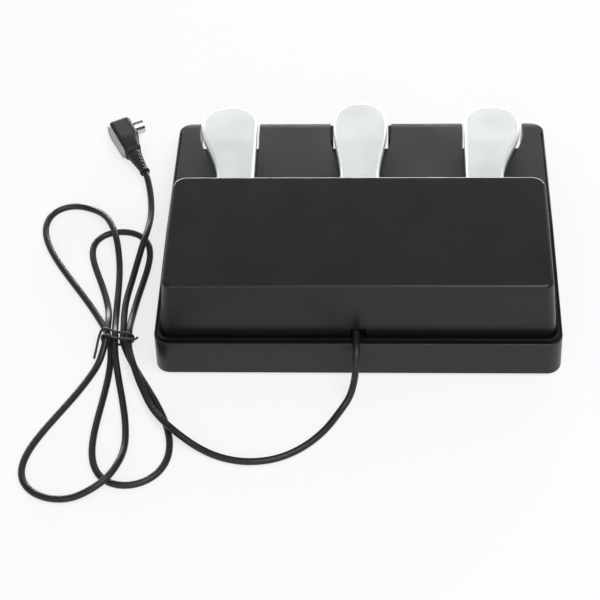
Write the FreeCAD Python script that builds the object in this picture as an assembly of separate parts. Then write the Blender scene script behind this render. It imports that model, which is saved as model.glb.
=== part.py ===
import FreeCAD, Part
import math
import os

from FreeCAD import Vector as V

os.makedirs("parts", exist_ok=True)

# Triple pedal unit for a keyboard, in millimetres.
# +X is the player's right, +Y points away from the player, +Z is up and the floor is at z = 0.
# The origin is on the floor under the middle of the unit, its cord not counted.

# Base case
case_width = 325.0          # over the rim
case_depth = 271.0          # over the rim
case_wall = 3.0
case_draft = 1.0            # the walls stand out by this much at their foot
case_corner = 12.0
rim_height = 37.0           # above the floor
nose_height = 25.6          # the deck's front edge above the floor
roll_radius = 55.0          # the deck rolls over by this angle at its front edge
roll_angle = 10.0
deck_flat = 131.0           # level stretch of the rim, from the rear
deck_bend = 120.0           # radius where the deck starts to fall
rim_round = 0.8
foot_height = 3.0           # clear height under the case
pedal_overhang = 11.6       # middle pedal's tip beyond the deck's front edge

# Steps round the hood, at the rear and at the sides
crest_rear, crest_side = 1.3, 1.1
groove_rear, groove_side = 2.6, 1.3
ledge_rear, ledge_side = 2.8, 1.3
slit_rear, slit_side, slit_front = 2.6, 0.7, 0.5
groove_depth = 1.8

# Hood
hood_depth = 132.5          # at its foot
hood_height = 89.8          # top face above the floor
hood_seat = 34.0            # height of the ledge that it stands on
hood_wall = 3.0
hood_side_lean = 5.6
hood_rear_lean = 4.5
hood_front_lean = 5.2
hood_foot_corner = 9.0
hood_front_corner = 12.0
hood_rear_corner = 7.0
hood_round = 2.6
seat_width = 14.0           # ledge inside the hood's wall
seat_thickness = 3.5
notch_width = 12.4
notch_height = 10.0         # above the seat
notch_x = -1.1
boss_radius = 4.0
boss_web = 3.5              # rib between a side boss and the hood's wall
boss_end = 6.0              # side bosses in from the well's ends
nose_boss_back = 38.0       # behind the rim's front edge
edge_boss_inset = 10.0      # in from the rim

# Bottom plate, its screws and the feet
plate_thickness = 2.0
plate_gap = 0.4
plate_drop = 0.2            # plate's underside above the case's foot
tongue_floor = 2.2          # moulded floor of a channel
tongue_front = 13.2         # channel floor's front edge behind the deck's front edge
screw_radius = 1.7
screw_head = 3.3
screw_head_height = 1.7
screw_clear = 0.06
screw_sides = 12
small_screw = 1.2
foot_radius = 9.0
foot_inset = 16.0           # from the case's sides and rear
front_foot_back = 12.0      # behind the channel floor's front edge

# Pedals
pedal_top = 42.5
pedal_thickness = 8.5
middle_root_width = 33.4
side_root_width = 32.4
pedal_pitch = 107.4         # between the levers of two pedals
pedal_flare_start = 88.0    # from the rim's front edge back to where the flare starts
pedal_flare_end = 20.0
pedal_tip_start = 14.4      # from there on the tip is half an ellipse
middle_wide = 47.6
side_wide_out = 140.8       # outer edge of a side pedal from the middle
side_lean = 0.3             # a side pedal's inner edge leans away from the middle by this
side_short = 5.2            # side pedals end this much before the middle one
pedal_round = 3.2
pedal_low_round = 1.2
pedal_droop = 0.8           # the tip's top face hangs by this
droop_start = 20.0          # behind the place where the flare ends
droop_bend = 300.0
channel_gap = 1.7           # round a pedal's root
channel_gap_front = 3.4     # at the deck's front edge
channel_gap_inner = 1.9     # at the side channels' inner walls
channel_gap_close = 0.9     # the same at the deck's front edge
mouth_lean = 2.2            # the middle channel's mouth narrows by this on each side
mouth_edge = 2.5            # from the deck's front edge down to where it begins to narrow
mouth_drop = 8.0            # the narrowing ends this much lower
channel_wall = 2.5

# Levers and their mechanism
lever_width = 14.0
lever_tail = 24.0           # behind the pivot
pivot_back = 61.0           # from the rim's rear edge to the pivot
pivot_radius = 3.0
pivot_slack = 0.05
pivot_boss = 9.0
bush_radius = 5.0
bush_flange = 7.0
bush_flange_thickness = 0.8
press_angle = 4.0           # full travel of a pedal, degrees
running_gap = 0.3
sheet = 2.0                 # bracket sheet
bracket_post = 16.0         # front post, along the lever
bracket_tab = 7.0
felt_thickness = 3.0
rail_width = 18.0
rail_lip = 8.0
spring_coil_radius = 6.5
spring_wire_radius = 0.9
spring_turns = 4.5
spring_forward = 40.0       # in front of the pivot
buffer_forward = 58.0
buffer_radius = 5.0
cup_height = 1.0
board_gap = 15.5            # board above the levers
board_thickness = 1.6
board_depth = 26.0
board_margin = 16.0
socket_height = 6.0
inner_radius = 1.2          # bundle of wires from the clamp to the board
gate_height = 11.2
gate_depth = 6.0
gate_slot = 4.0
gate_roof = 3.0            # solid part of a gate above its slot
flag_thickness = 1.2
flag_height = 9.0
clip_thickness = 1.6        # of the shutter's foot on the lever

# Cord and plug
cord_radius = 2.5
cord_sides = 8              # the cord's section in flats
wire_sides = 4              # the same for thin wires and the springs
cord_rest = 0.2             # under the cord where it lies
tie_radius = 0.9
clamp_ear = 9.5
clamp_length = 6.0
plug_height = 17.0
shell_radius = 6.6
shell_wall = 0.5
shell_length = 10.0

# Places that follow from the sizes above
rear_foot_y = (case_depth + case_draft + pedal_overhang) / 2
rim_rear = rear_foot_y - case_draft
rim_front = rim_rear - case_depth
fold_y = rim_rear - deck_flat
roll_y = rim_front + roll_radius * math.tan(math.radians(roll_angle / 2)) - 2
roll_drop = (roll_y - rim_front) * math.tan(math.radians(roll_angle))
deck_slope = (rim_height - nose_height - roll_drop) / (fold_y - rim_front)
half_case = case_width / 2
hood_rear = rim_rear - crest_rear - groove_rear - ledge_rear - slit_rear
hood_front = hood_rear - hood_depth
hood_half = half_case - crest_side - groove_side - ledge_side - slit_side
plate_bottom = foot_height + plate_drop
plate_top = plate_bottom + plate_thickness
tongue_top = plate_top + tongue_floor
tongue_y = rim_front + tongue_front
well_front = hood_front + hood_wall + seat_width
well_rear = hood_rear - hood_wall - seat_width
well_half = hood_half - hood_wall - seat_width
pedal_bottom = pedal_top - pedal_thickness
lever_mid = pedal_top - pedal_thickness / 2
pivot_y = rim_rear - pivot_back
tail_y = pivot_y + lever_tail
flare_y = rim_front + pedal_flare_start
wide_y = rim_front + pedal_flare_end
tip_start_y = rim_front + pedal_tip_start
tip_y = rim_front - pedal_overhang
inner_x = pedal_pitch - side_root_width / 2
cheek_in = lever_width / 2 + bush_flange_thickness + running_gap
cheek_out = cheek_in + sheet
flange_top = plate_top + sheet
rail_bottom = pedal_top + running_gap + felt_thickness
board_bottom = pedal_top + board_gap
spring_y = pivot_y - spring_forward
buffer_y = pivot_y - buffer_forward
bracket_front = buffer_y - buffer_radius - 0.5
bracket_rear = tail_y + 4
rail_y = bracket_front + bracket_post / 2
gate_y = tail_y - 3.5
board_half = pedal_pitch + board_margin
socket_place = (27.0, gate_y + 11.0, board_bottom - socket_height)
floor_z = cord_radius + cord_rest
exit_z = hood_seat + 6.0
cross_z = floor_z + 2 * cord_radius + 1.0
clamp_rear = hood_rear - 7.0
clamp_front = clamp_rear - clamp_length
cord_x = 1.0                # where the cord leaves the clamp
sides = {"soft": -1, "sostenuto": 0, "damper": 1}
lever_x = {name: side * pedal_pitch for name, side in sides.items()}


def save(shape, name):
    if not shape.isValid():
        print("not valid:", name)
    print(name, "solids", len(shape.Solids), "volume", round(shape.Volume, 1))
    shape.exportStep("parts/" + name + ".step")


def rounded_outline(corners, z=0.0):
    """Closed wire through corners given as (x, y, radius), each rounded by an arc."""
    edges, ends = [], []
    count = len(corners)
    for i, (x, y, radius) in enumerate(corners):
        here = V(x, y, z)
        before = V(corners[i - 1][0], corners[i - 1][1], z)
        after = V(corners[(i + 1) % count][0], corners[(i + 1) % count][1], z)
        to_before = (before - here).normalize()
        to_after = (after - here).normalize()
        if radius <= 0:
            ends.append((here, here))
            continue
        half = to_before.getAngle(to_after) / 2
        back = radius / math.tan(half)
        middle = (to_before + to_after).normalize()
        centre = here + middle * (radius / math.sin(half))
        start, end = here + to_before * back, here + to_after * back
        ends.append((start, end))
        edges.append(Part.Arc(start, centre - middle * radius, end).toShape())
    for i in range(count):
        start, end = ends[i][1], ends[(i + 1) % count][0]
        if start.distanceToPoint(end) > 1e-6:
            edges.append(Part.LineSegment(start, end).toShape())
    return Part.Wire(Part.__sortEdges__(edges))


def rounded_box_outline(half, front, rear, front_radius, rear_radius, z):
    return rounded_outline([(-half, front, front_radius), (half, front, front_radius),
                            (half, rear, rear_radius), (-half, rear, rear_radius)], z)


def block(wire, height):
    return Part.Face(wire).extrude(V(0, 0, height))


def ring_block(outer, inner, height):
    return block(outer, height).cut(block(inner, height))


def side_profile(corners, x_start, x_end):
    """Solid with the outline (y, z, radius) in the side view, from x_start to x_end."""
    flat = rounded_outline(corners)
    flat.rotate(V(0, 0, 0), V(1, 1, 1), 120)
    flat.translate(V(x_start, 0, 0))
    return Part.Face(flat).extrude(V(x_end - x_start, 0, 0))


def spun(points, centre, axis=V(0, 0, 1)):
    """Solid of revolution from (radius, height) points, standing at centre along axis."""
    wire = Part.makePolygon([V(r, 0, h) for r, h in points + points[:1]])
    solid = Part.Face(wire).revolve(V(0, 0, 0), V(0, 0, 1), 360)
    turn = FreeCAD.Rotation(V(0, 0, 1), axis)
    solid.Placement = FreeCAD.Placement(centre, turn)
    return solid


def under_deck(drop):
    """Everything below the deck's top surface lowered by drop: level, then falling and rolled over in front."""
    reach = 2 * case_corner
    far = rim_front - reach
    top = rim_height - drop
    roll_top = top - deck_slope * (fold_y - roll_y)
    roll_slope = math.tan(math.atan(deck_slope) + math.radians(roll_angle))
    return side_profile([(rim_rear + reach, top, 0), (fold_y, top, deck_bend), (roll_y, roll_top, roll_radius),
                         (far, roll_top - roll_slope * (roll_y - far), 0), (far, -reach, 0),
                         (rim_rear + reach, -reach, 0)], -case_width, case_width)


def flare_edge(x_root, x_wide, end_y):
    """Edge of a pedal or of its channel where it widens towards the tip."""
    run = flare_y - end_y
    points = [V(x_root, flare_y, 0), V(x_root, flare_y - 0.42 * run, 0),
              V(x_wide, end_y + 0.30 * run, 0), V(x_wide, end_y, 0)]
    curve = Part.BezierCurve()
    curve.setPoles(points)
    return curve.toShape()


def line(x1, y1, x2, y2):
    return Part.LineSegment(V(x1, y1, 0), V(x2, y2, 0)).toShape()


def pedal_edges(side):
    """Outer and inner root and wide places of a pedal: the middle one flares both ways."""
    if side == 0:
        half = middle_root_width / 2
        return half, middle_wide / 2, -half, -middle_wide / 2
    return inner_x + side_root_width, side_wide_out, inner_x, inner_x + side_lean


def channel_edges(side, grow):
    """The same four places on the channel's walls, moved outwards by grow."""
    outer_root, outer_wide, inner_root, inner_wide = pedal_edges(side)
    outer = outer_root + channel_gap + grow, outer_wide + channel_gap_front + grow
    if side == 0:
        return outer[0], outer[1], -outer[0], -outer[1]
    return outer[0], outer[1], inner_root - channel_gap_inner - grow, inner_wide - channel_gap_close - grow


def inner_edge(side, x_root, x_wide, end_y):
    if side == 0:
        edge = flare_edge(-x_root, -x_wide, end_y)
        return edge.mirror(V(0, 0, 0), V(1, 0, 0))
    return line(x_root, flare_y, x_wide, end_y)


# Base case

def case_body(inset):
    foot = rounded_box_outline(half_case + case_draft - inset, rim_front - case_draft + inset,
                               rear_foot_y - inset, case_corner, case_corner, foot_height)
    rim = rounded_box_outline(half_case - inset, rim_front + inset, rim_rear - inset,
                              case_corner, case_corner, rim_height + case_draft)
    return Part.makeLoft([foot, rim], True, True)


def channel_outline(side, grow, front, rear):
    outer_root, outer_wide, inner_root, inner_wide = channel_edges(side, grow)
    edges = [line(outer_root, rear, outer_root, flare_y),
             flare_edge(outer_root, outer_wide, tongue_y),
             line(outer_wide, tongue_y, outer_wide, front),
             line(outer_wide, front, inner_wide, front),
             line(inner_wide, front, inner_wide, tongue_y),
             inner_edge(side, inner_root, inner_wide, tongue_y),
             line(inner_root, flare_y, inner_root, rear),
             line(inner_root, rear, outer_root, rear)]
    return Part.Wire(Part.__sortEdges__(edges))


def channel_block(side, grow, front, rear, bottom, top):
    solid = block(channel_outline(abs(side), grow, front, rear), top - bottom)
    solid.translate(V(0, 0, bottom))
    return mirrored(solid, side)


def nose_block(side, grow, rear, bottom, top):
    """Straight front end of a channel, open to the front."""
    outer_wide, inner_wide = channel_edges(abs(side), grow)[1::2]
    front = rim_front - 2 * case_corner
    solid = Part.makeBox(outer_wide - inner_wide, rear - front, top - bottom, V(inner_wide, front, bottom))
    return mirrored(solid, side)


def mouth_block():
    """Straight front end of the middle channel, narrower below the deck than in it."""
    wide = channel_edges(0, 0)[1]
    narrow, high = wide - mouth_lean, nose_height - mouth_edge
    low, front = high - mouth_drop, rim_front - 2 * case_corner
    right = [(narrow, 0), (narrow, low), (wide, high), (wide, 2 * rim_height)]
    around = right + [(-x, z) for x, z in right[::-1]] + right[:1]
    return Part.Face(Part.makePolygon([V(x, front, z) for x, z in around])).extrude(V(0, tongue_y - front, 0))


def mirrored(solid, side):
    if side < 0:
        return solid.mirror(V(0, 0, 0), V(1, 0, 0))
    return solid


boss_x = hood_half - hood_wall - boss_radius - boss_web
hood_bosses = [(s * boss_x, y) for s in (-1, 1) for y in (well_front + boss_end, well_rear - boss_end)]
hood_bosses += [(s * pedal_pitch / 2, hood_front + hood_wall + boss_radius + 1) for s in (-1, 1)]
nose_bosses = [(s * pedal_pitch / 2, rim_front + nose_boss_back) for s in (-1, 1)]
nose_bosses += [(s * (half_case - edge_boss_inset), rim_front + nose_boss_back) for s in (-1, 1)]
rear_bosses = [(s * pedal_pitch / 2, rim_rear - edge_boss_inset - 1) for s in (-1, 1)]
case_bosses = nose_bosses + rear_bosses


def make_base_case():
    body = case_body(0).common(under_deck(0))
    rounds = [e for e in body.Edges if e.BoundBox.ZMin > nose_height - 2
              and abs(e.BoundBox.XMax - e.BoundBox.XMin) + abs(e.BoundBox.YMax - e.BoundBox.YMin) > 1
              and not (e.BoundBox.XLength > 2 * half_case - 2 * case_corner - 8
                       and abs(e.CenterOfMass.y - fold_y) < fold_y - rim_front - 3)]
    body = body.makeFillet(rim_round, rounds)
    case = body.cut(case_body(case_wall).common(under_deck(case_wall)))
    seat = block(rounded_box_outline(hood_half + slit_side + case_wall, hood_front - case_wall,
                                     hood_rear + slit_rear + case_wall, hood_foot_corner, hood_foot_corner,
                                     hood_seat - seat_thickness), seat_thickness + 1)
    case = case.fuse(seat.common(under_deck(1)))
    for side in sides.values():
        trough = channel_block(side, channel_wall, tongue_y - 0.5, well_front, plate_top, rim_height)
        nose = nose_block(side, channel_wall, tongue_y + 1, foot_height, rim_height)
        case = case.fuse(trough.fuse(nose).common(body).common(under_deck(1)))
    for x, y in hood_bosses + case_bosses:
        boss = Part.makeCylinder(boss_radius, rim_height, V(x, y, plate_top))
        case = case.fuse(boss.common(under_deck(case_wall - 1)))
    # Pocket for the hood's foot, the well inside it, and the groove round it
    pocket = block(rounded_box_outline(hood_half + slit_side, hood_front - slit_front, hood_rear + slit_rear,
                                       hood_foot_corner, hood_foot_corner, hood_seat), rim_height)
    well = block(rounded_box_outline(well_half, well_front, well_rear, 6, 6, 0), rim_height * 2)
    case = case.cut(pocket).cut(well)
    groove_front = rim_front + 14
    ring = ring_block(
        rounded_box_outline(half_case - crest_side, rim_front, rim_rear - crest_rear,
                            case_corner - 1, case_corner - 1.2, 0),
        rounded_box_outline(half_case - crest_side - groove_side, rim_front - 1,
                            rim_rear - crest_rear - groove_rear, case_corner - 2, case_corner - 3, 0),
        2 * rim_height)
    ring = ring.cut(under_deck(groove_depth))
    keep = Part.makeBox(2 * case_width, case_depth, 2 * rim_height, V(-case_width, groove_front, 0))
    case = case.cut(ring.common(keep))
    for side in sides.values():
        case = case.cut(channel_block(side, 0, tongue_y - 1, well_front + 0.1, tongue_top, 2 * rim_height))
        case = case.cut(nose_block(side, 0, tongue_y, 0, 2 * rim_height) if side else mouth_block())
    bed = block(rounded_box_outline(half_case + case_draft - case_wall, tongue_y - plate_gap,
                                    rear_foot_y - case_wall, 9, 9, 0), plate_top)
    case = case.cut(bed)
    for x, y in hood_bosses:
        case = case.cut(Part.makeCylinder(screw_radius + screw_clear, rim_height, V(x, y, 0)))
    for x, y in clamp_screw_places():
        case = case.cut(Part.makeCylinder(small_screw, 8, V(x, y, hood_seat - 6)))
    for x, y in case_bosses:
        case = case.cut(Part.makeCylinder(screw_radius + screw_clear, 18, V(x, y, plate_top - 1)))
    return case.removeSplitter()


def make_bottom_plate():
    inset = case_wall + plate_gap
    plate = block(rounded_box_outline(half_case + case_draft - inset, tongue_y, rear_foot_y - inset, 3,
                                      case_corner - case_wall, plate_bottom), plate_thickness)
    for x, y in hood_bosses + case_bosses:
        plate = plate.cut(Part.makeCylinder(screw_radius + 0.3, 10, V(x, y, 0)))
    return plate


def screw(x, y, seat, way, head, head_height, shank, length):
    """Screw with its head on seat and its shank going up (way 1) or down (way -1), in twelve flats."""
    parts = []
    for radius, start, tall in ((head, seat, -way * head_height), (shank, seat, way * length)):
        turns = [2 * math.pi * k / screw_sides for k in range(screw_sides + 1)]
        ring = Part.makePolygon([V(x + radius * math.cos(a), y + radius * math.sin(a), start) for a in turns])
        parts.append(block(ring, tall))
    return parts[0].fuse(parts[1])


def screw_from_below(x, y, length):
    return screw(x, y, plate_bottom, 1, screw_head, screw_head_height, screw_radius, length)


foot_places = [(s * (half_case - foot_inset), y) for s in (-1, 1)
               for y in (tongue_y + front_foot_back, rear_foot_y - foot_inset)]
foot_places += [(s * pedal_pitch / 2, tongue_y + front_foot_back) for s in (-1, 1)]


def make_feet():
    profile = [(0, 0), (foot_radius - 1.2, 0), (foot_radius, 1.2), (foot_radius, plate_bottom),
               (0, plate_bottom)]
    return Part.makeCompound([spun(profile, V(x, y, 0)) for x, y in foot_places])


# Hood

def hood_body(inset, bottom, top):
    share = (top - hood_seat) / (hood_height - hood_seat)
    foot = rounded_box_outline(hood_half - inset, hood_front + inset, hood_rear - inset,
                               hood_foot_corner - inset / 2, hood_foot_corner - inset / 2, bottom)
    crown = rounded_box_outline(hood_half - inset - hood_side_lean * share,
                                hood_front + inset + hood_front_lean * share,
                                hood_rear - inset - hood_rear_lean * share,
                                hood_front_corner - inset / 2, hood_rear_corner - inset / 2, top)
    return Part.makeLoft([foot, crown], True, True)


def make_hood():
    hood = hood_body(0, hood_seat, hood_height)
    top_edges = [e for e in hood.Edges if e.BoundBox.ZMin > hood_height - 0.01]
    hood = hood.makeFillet(hood_round, top_edges)
    inside = hood_body(hood_wall, hood_seat, hood_height - hood_wall)
    shell = hood.cut(inside)
    for x, y in hood_bosses:
        boss = Part.makeCylinder(boss_radius, hood_height, V(x, y, hood_seat))
        if abs(x) > pedal_pitch:
            rib = Part.makeBox(hood_half - abs(x), 2, hood_height, V(min(x, math.copysign(hood_half, x)), y - 1,
                                                                    hood_seat))
        else:
            rib = Part.makeBox(2, y - hood_front, hood_height, V(x - 1, hood_front, hood_seat))
        shell = shell.fuse(boss.fuse(rib).common(hood))
    for x, y in hood_bosses:
        shell = shell.cut(Part.makeCylinder(screw_radius + screw_clear, 16, V(x, y, hood_seat - 1)))
    # Openings in the front wall for the pedals, and the cord's notch at the rear
    for x in lever_x.values():
        half = middle_root_width / 2 + channel_gap
        top = pedal_top + 2.5
        mouth = rounded_outline([(x - half, 0, 0), (x + half, 0, 0), (x + half, top, 4), (x - half, top, 4)])
        mouth.rotate(V(0, 0, 0), V(1, 0, 0), 90)
        opening = Part.Face(mouth).extrude(V(0, 3 * hood_wall + hood_front_lean, 0))
        opening.translate(V(0, hood_front - hood_wall, 0))
        shell = shell.cut(opening)
    notch_top = hood_seat + notch_height
    notch = rounded_outline([(notch_x - notch_width / 2, 0, 0), (notch_x + notch_width / 2, 0, 0),
                             (notch_x + notch_width / 2, notch_top, 1.5),
                             (notch_x - notch_width / 2, notch_top, 1.5)])
    notch.rotate(V(0, 0, 0), V(1, 0, 0), 90)
    gap = Part.Face(notch).extrude(V(0, 4 * hood_wall, 0))
    gap.translate(V(0, hood_rear - 3 * hood_wall, 0))
    return shell.cut(gap)


# Pedals

def pedal_outline(side):
    outer_root, outer_wide, inner_root, inner_wide = pedal_edges(side)
    mid = lever_x["damper"] if side else 0.0
    rear = hood_front + 14
    tip = tip_y + (side_short if side else 0)
    centre_x = (outer_wide + inner_wide) / 2
    half_wide = (outer_wide - inner_wide) / 2
    depth = tip_start_y - tip
    major, minor = max(half_wide, depth), min(half_wide, depth)
    along = V(1, 0, 0) if half_wide > depth else V(0, -1, 0)
    centre = V(centre_x, tip_start_y, 0)
    ellipse = Part.Ellipse(centre + along * major, centre + V(0, 0, 1).cross(along) * minor, centre)
    start = ellipse.parameter(V(inner_wide, tip_start_y, 0))
    end = ellipse.parameter(V(outer_wide, tip_start_y, 0))
    if end < start:
        end += 2 * math.pi
    arc = Part.ArcOfEllipse(ellipse, start, end)
    if arc.value((start + end) / 2).y > tip_start_y:
        arc = Part.ArcOfEllipse(ellipse, end, start + 2 * math.pi)
    root = hood_front + 4
    edges = [line(outer_root, root, outer_root, flare_y), flare_edge(outer_root, outer_wide, wide_y),
             line(outer_wide, wide_y, outer_wide, tip_start_y), arc.toShape(),
             line(inner_wide, tip_start_y, inner_wide, wide_y), inner_edge(side, inner_root, inner_wide, wide_y),
             line(inner_root, flare_y, inner_root, root),
             line(inner_root, root, mid - lever_width / 2, rear),
             line(mid - lever_width / 2, rear, mid + lever_width / 2, rear),
             line(mid + lever_width / 2, rear, outer_root, root)]
    return Part.Wire(Part.__sortEdges__(edges))


def make_pedal(side):
    plate = block(pedal_outline(abs(side)), 2 * pedal_top)
    front, rear = tip_y - 5, hood_front + 30
    bend = wide_y + droop_start
    drop = pedal_droop * (bend - front) / (bend - tip_y)
    slab = side_profile([(rear, pedal_top, 0), (bend, pedal_top, droop_bend), (front, pedal_top - drop, 0),
                         (front, pedal_bottom - drop, 0), (bend, pedal_bottom, droop_bend),
                         (rear, pedal_bottom, 0)], -case_width, case_width)
    plate = plate.common(slab)
    plate = plate.makeFillet(pedal_round, rim_edges(plate, 1))
    plate = plate.makeFillet(pedal_low_round, rim_edges(plate, -1))
    mid = pedal_pitch if side else 0.0
    bar_start = hood_front + 8
    bar = Part.makeBox(lever_width, tail_y - bar_start, pedal_thickness,
                       V(mid - lever_width / 2, bar_start, pedal_bottom))
    boss = Part.makeCylinder(pivot_boss, lever_width, V(mid - lever_width / 2, pivot_y, lever_mid), V(1, 0, 0))
    spigot = Part.makeCylinder(spring_coil_radius - spring_wire_radius - running_gap, 3,
                               V(mid, spring_y, pedal_bottom - 3))
    lever = plate.fuse(bar).fuse(boss).fuse(spigot)
    bore = Part.makeCylinder(bush_radius, lever_width * 2, V(mid - lever_width, pivot_y, lever_mid), V(1, 0, 0))
    lever = lever.cut(bore).removeSplitter()
    return mirrored(lever, side)


def rim_edges(solid, way):
    """Edges round the outside of the faces that look up (way 1) or down (way -1)."""
    seen = {}
    for face in solid.Faces:
        u0, u1, v0, v1 = face.ParameterRange
        if face.normalAt((u0 + u1) / 2, (v0 + v1) / 2).z * way > 0.7:
            for edge in face.Edges:
                seen.setdefault(edge.hashCode(), []).append(edge)
    return [found[0] for found in seen.values() if len(found) == 1]


# Mechanism under the hood

def make_bush(x):
    half = lever_width / 2
    length = half - 0.5
    profile = [(pivot_radius + pivot_slack, 0), (bush_radius, 0), (bush_radius, length),
               (bush_flange, length), (bush_flange, length + bush_flange_thickness),
               (pivot_radius + pivot_slack, length + bush_flange_thickness)]
    pair = []
    for way in (-1, 1):
        pair.append(spun(profile, V(x + way * (half - length), pivot_y, lever_mid), V(way, 0, 0)))
    return Part.makeCompound(pair)


def make_bracket(x):
    """Folded sheet: a floor, two cheeks that hold the shaft, and tabs for the rail and the board."""
    post_rear = bracket_front + bracket_post
    gate_front = gate_y - 4
    cheek = [(bracket_front, plate_top, 0), (bracket_front, rail_bottom, 1.5), (post_rear, rail_bottom, 1.5),
             (post_rear, 26, 6), (pivot_y - 14, 22, 8), (pivot_y - 10, lever_mid + 11, 8),
             (pivot_y + 9, lever_mid + 11, 5), (gate_front, lever_mid + 6, 2), (gate_front, board_bottom, 1),
             (bracket_rear, board_bottom, 1), (bracket_rear, plate_top, 0)]
    floor = block(rounded_box_outline(cheek_out + 10, bracket_front, bracket_rear, 3, 3, plate_top), sheet)
    floor.translate(V(x, 0, 0))
    solids = []
    for x_in in (x - cheek_out, x + cheek_in):
        solids.append(side_profile(cheek, x_in, x_in + sheet))
    for left in (x - cheek_out - bracket_tab, x + cheek_out - 0.1):
        for front, top in ((rail_y - 4, rail_bottom), (gate_y - 4, board_bottom)):
            solids.append(Part.makeBox(bracket_tab + 0.1, 8, sheet, V(left, front, top - sheet)))
    bracket = floor.fuse(solids)
    hole = Part.makeCylinder(pivot_radius, 4 * cheek_out, V(x - 2 * cheek_out, pivot_y, lever_mid), V(1, 0, 0))
    bracket = bracket.cut(hole)
    for dx, y in bracket_screw_places():
        bracket = bracket.cut(Part.makeCylinder(screw_radius, 20, V(x + dx, y, 0)))
    for dx in tab_screws():
        for y, z in ((rail_y, rail_bottom), (gate_y, board_bottom)):
            bracket = bracket.cut(Part.makeCylinder(small_screw, 8, V(x + dx, y, z - 6)))
    return bracket.removeSplitter()


def bracket_screw_places():
    out = cheek_out + 5.5
    return [(dx, y) for dx in (-out, out) for y in (bracket_front + 20, bracket_rear - 20)]


def tab_screws():
    return [way * (cheek_out + bracket_tab / 2) for way in (-1, 1)]


def make_bracket_screws():
    solids = []
    for x in lever_x.values():
        for dx, y in bracket_screw_places():
            solids.append(screw(x + dx, y, flange_top, -1, screw_head, screw_head_height, screw_radius, sheet))
    return Part.makeCompound(solids)


def small_screw_solid(x, y, top, length):
    """Pan-head screw whose head stands on top, with its shank going down."""
    return screw(x, y, top, -1, small_screw + 1.4, 1.3, small_screw, length)


def make_tab_screws(y, top):
    """Two screws over each bracket, through the piece whose top is at this height and the tabs below it."""
    return Part.makeCompound([small_screw_solid(x + dx, y, top, top_piece(top) + sheet)
                              for x in lever_x.values() for dx in tab_screws()])


def top_piece(top):
    return sheet if top < board_bottom else board_thickness


def make_pivot_shafts():
    solids = []
    for x in lever_x.values():
        end = cheek_out + 2.4
        solids.append(spun([(0, -cheek_out - 1.5), (pivot_radius + 1.5, -cheek_out - 1.5),
                            (pivot_radius + 1.5, -cheek_out), (pivot_radius, -cheek_out),
                            (pivot_radius, cheek_out + 0.1), (pivot_radius - 0.6, cheek_out + 0.1),
                            (pivot_radius - 0.6, cheek_out + 1.0), (pivot_radius, cheek_out + 1.0),
                            (pivot_radius, end - 0.5), (pivot_radius - 0.5, end), (0, end)],
                           V(x, pivot_y, lever_mid), V(1, 0, 0)))
    return Part.makeCompound(solids)


def make_shaft_clips():
    solids = []
    for x in lever_x.values():
        ring = Part.makeCylinder(pivot_radius + 2, 0.7, V(x + cheek_out + 0.2, pivot_y, lever_mid), V(1, 0, 0))
        hole = Part.makeCylinder(pivot_radius - 0.6, 2, V(x + cheek_out - 0.5, pivot_y, lever_mid), V(1, 0, 0))
        mouth = Part.makeBox(2, 2 * (pivot_radius - 1.2), 3 * pivot_radius,
                             V(x + cheek_out - 0.5, pivot_y - pivot_radius + 1.2, lever_mid))
        solids.append(ring.cut(hole).cut(mouth))
    return Part.makeCompound(solids)


def biarc(p0, t0, p1, t1):
    """Two arcs from p0 to p1 that leave along t0 and arrive along t1."""
    v = p1 - p0
    t = t0 + t1
    bend = 2 * (1 - t0.dot(t1))
    along = v.dot(t)
    if bend < 1e-9:
        reach = v.dot(v) / (4 * v.dot(t1))
    else:
        reach = (-along + math.sqrt(along * along + bend * v.dot(v))) / bend
    joint = (p0 + t0 * reach + p1 - t1 * reach) * 0.5
    edges = []
    for start, tangent, end in ((p0, t0, joint), (p1, t1 * -1, joint)):
        chord = end - start
        half = chord.getAngle(tangent)
        if half < 1e-4:
            edge = Part.LineSegment(start, end)
        else:
            side = (tangent - chord * (tangent.dot(chord) / chord.dot(chord))).normalize()
            bulge = chord.Length / 2 * math.tan(half / 2)
            edge = Part.Arc(start, start + chord * 0.5 + side * bulge, end)
        edges.append(edge.toShape())
    return edges


def tube(wire_edges, radius, start, direction, facets):
    """Pipe along the edges with this many flat sides, one of them underneath where their number is even."""
    wire = Part.Wire(Part.__sortEdges__(wire_edges))
    across = direction.cross(V(0, 0, 1)).normalize()
    up = across.cross(direction).normalize()
    turns = [2 * math.pi * (k + 0.5) / facets for k in range(facets + 1)]
    ring = Part.makePolygon([start + across * radius * math.cos(a) + up * radius * math.sin(a) for a in turns])
    return wire.makePipeShell([ring], True, False)


def make_return_spring(x):
    """Open coil of hexagonal-section wire, in quarter turns of two arcs each."""
    low = flange_top + cup_height + spring_wire_radius + 0.1
    high = pedal_bottom - running_gap - spring_wire_radius
    quarters = int(round(spring_turns * 4))
    rise = (high - low) / quarters
    slope = rise / (spring_coil_radius * math.pi / 2)
    points, tangents = [], []
    for i in range(quarters + 1):
        a = i * math.pi / 2
        points.append(V(x + spring_coil_radius * math.cos(a), spring_y + spring_coil_radius * math.sin(a),
                        low + i * rise))
        tangents.append(V(-math.sin(a), math.cos(a), slope).normalize())
    edges = []
    for i in range(quarters):
        edges += biarc(points[i], tangents[i], points[i + 1], tangents[i + 1])
    print("spring's least gap between turns", round(4 * rise - 2 * spring_wire_radius, 2))
    return tube(edges, spring_wire_radius, points[0], tangents[0], wire_sides)


def make_spring_cups():
    inner = spring_coil_radius - spring_wire_radius - running_gap
    outer = cheek_in - 0.2
    profile = [(0, 0), (outer, 0), (outer, cup_height), (inner, cup_height), (inner, cup_height + 3),
               (inner - 1, cup_height + 4), (0, cup_height + 4)]
    return Part.makeCompound([spun(profile, V(x, spring_y, flange_top)) for x in lever_x.values()])


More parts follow.
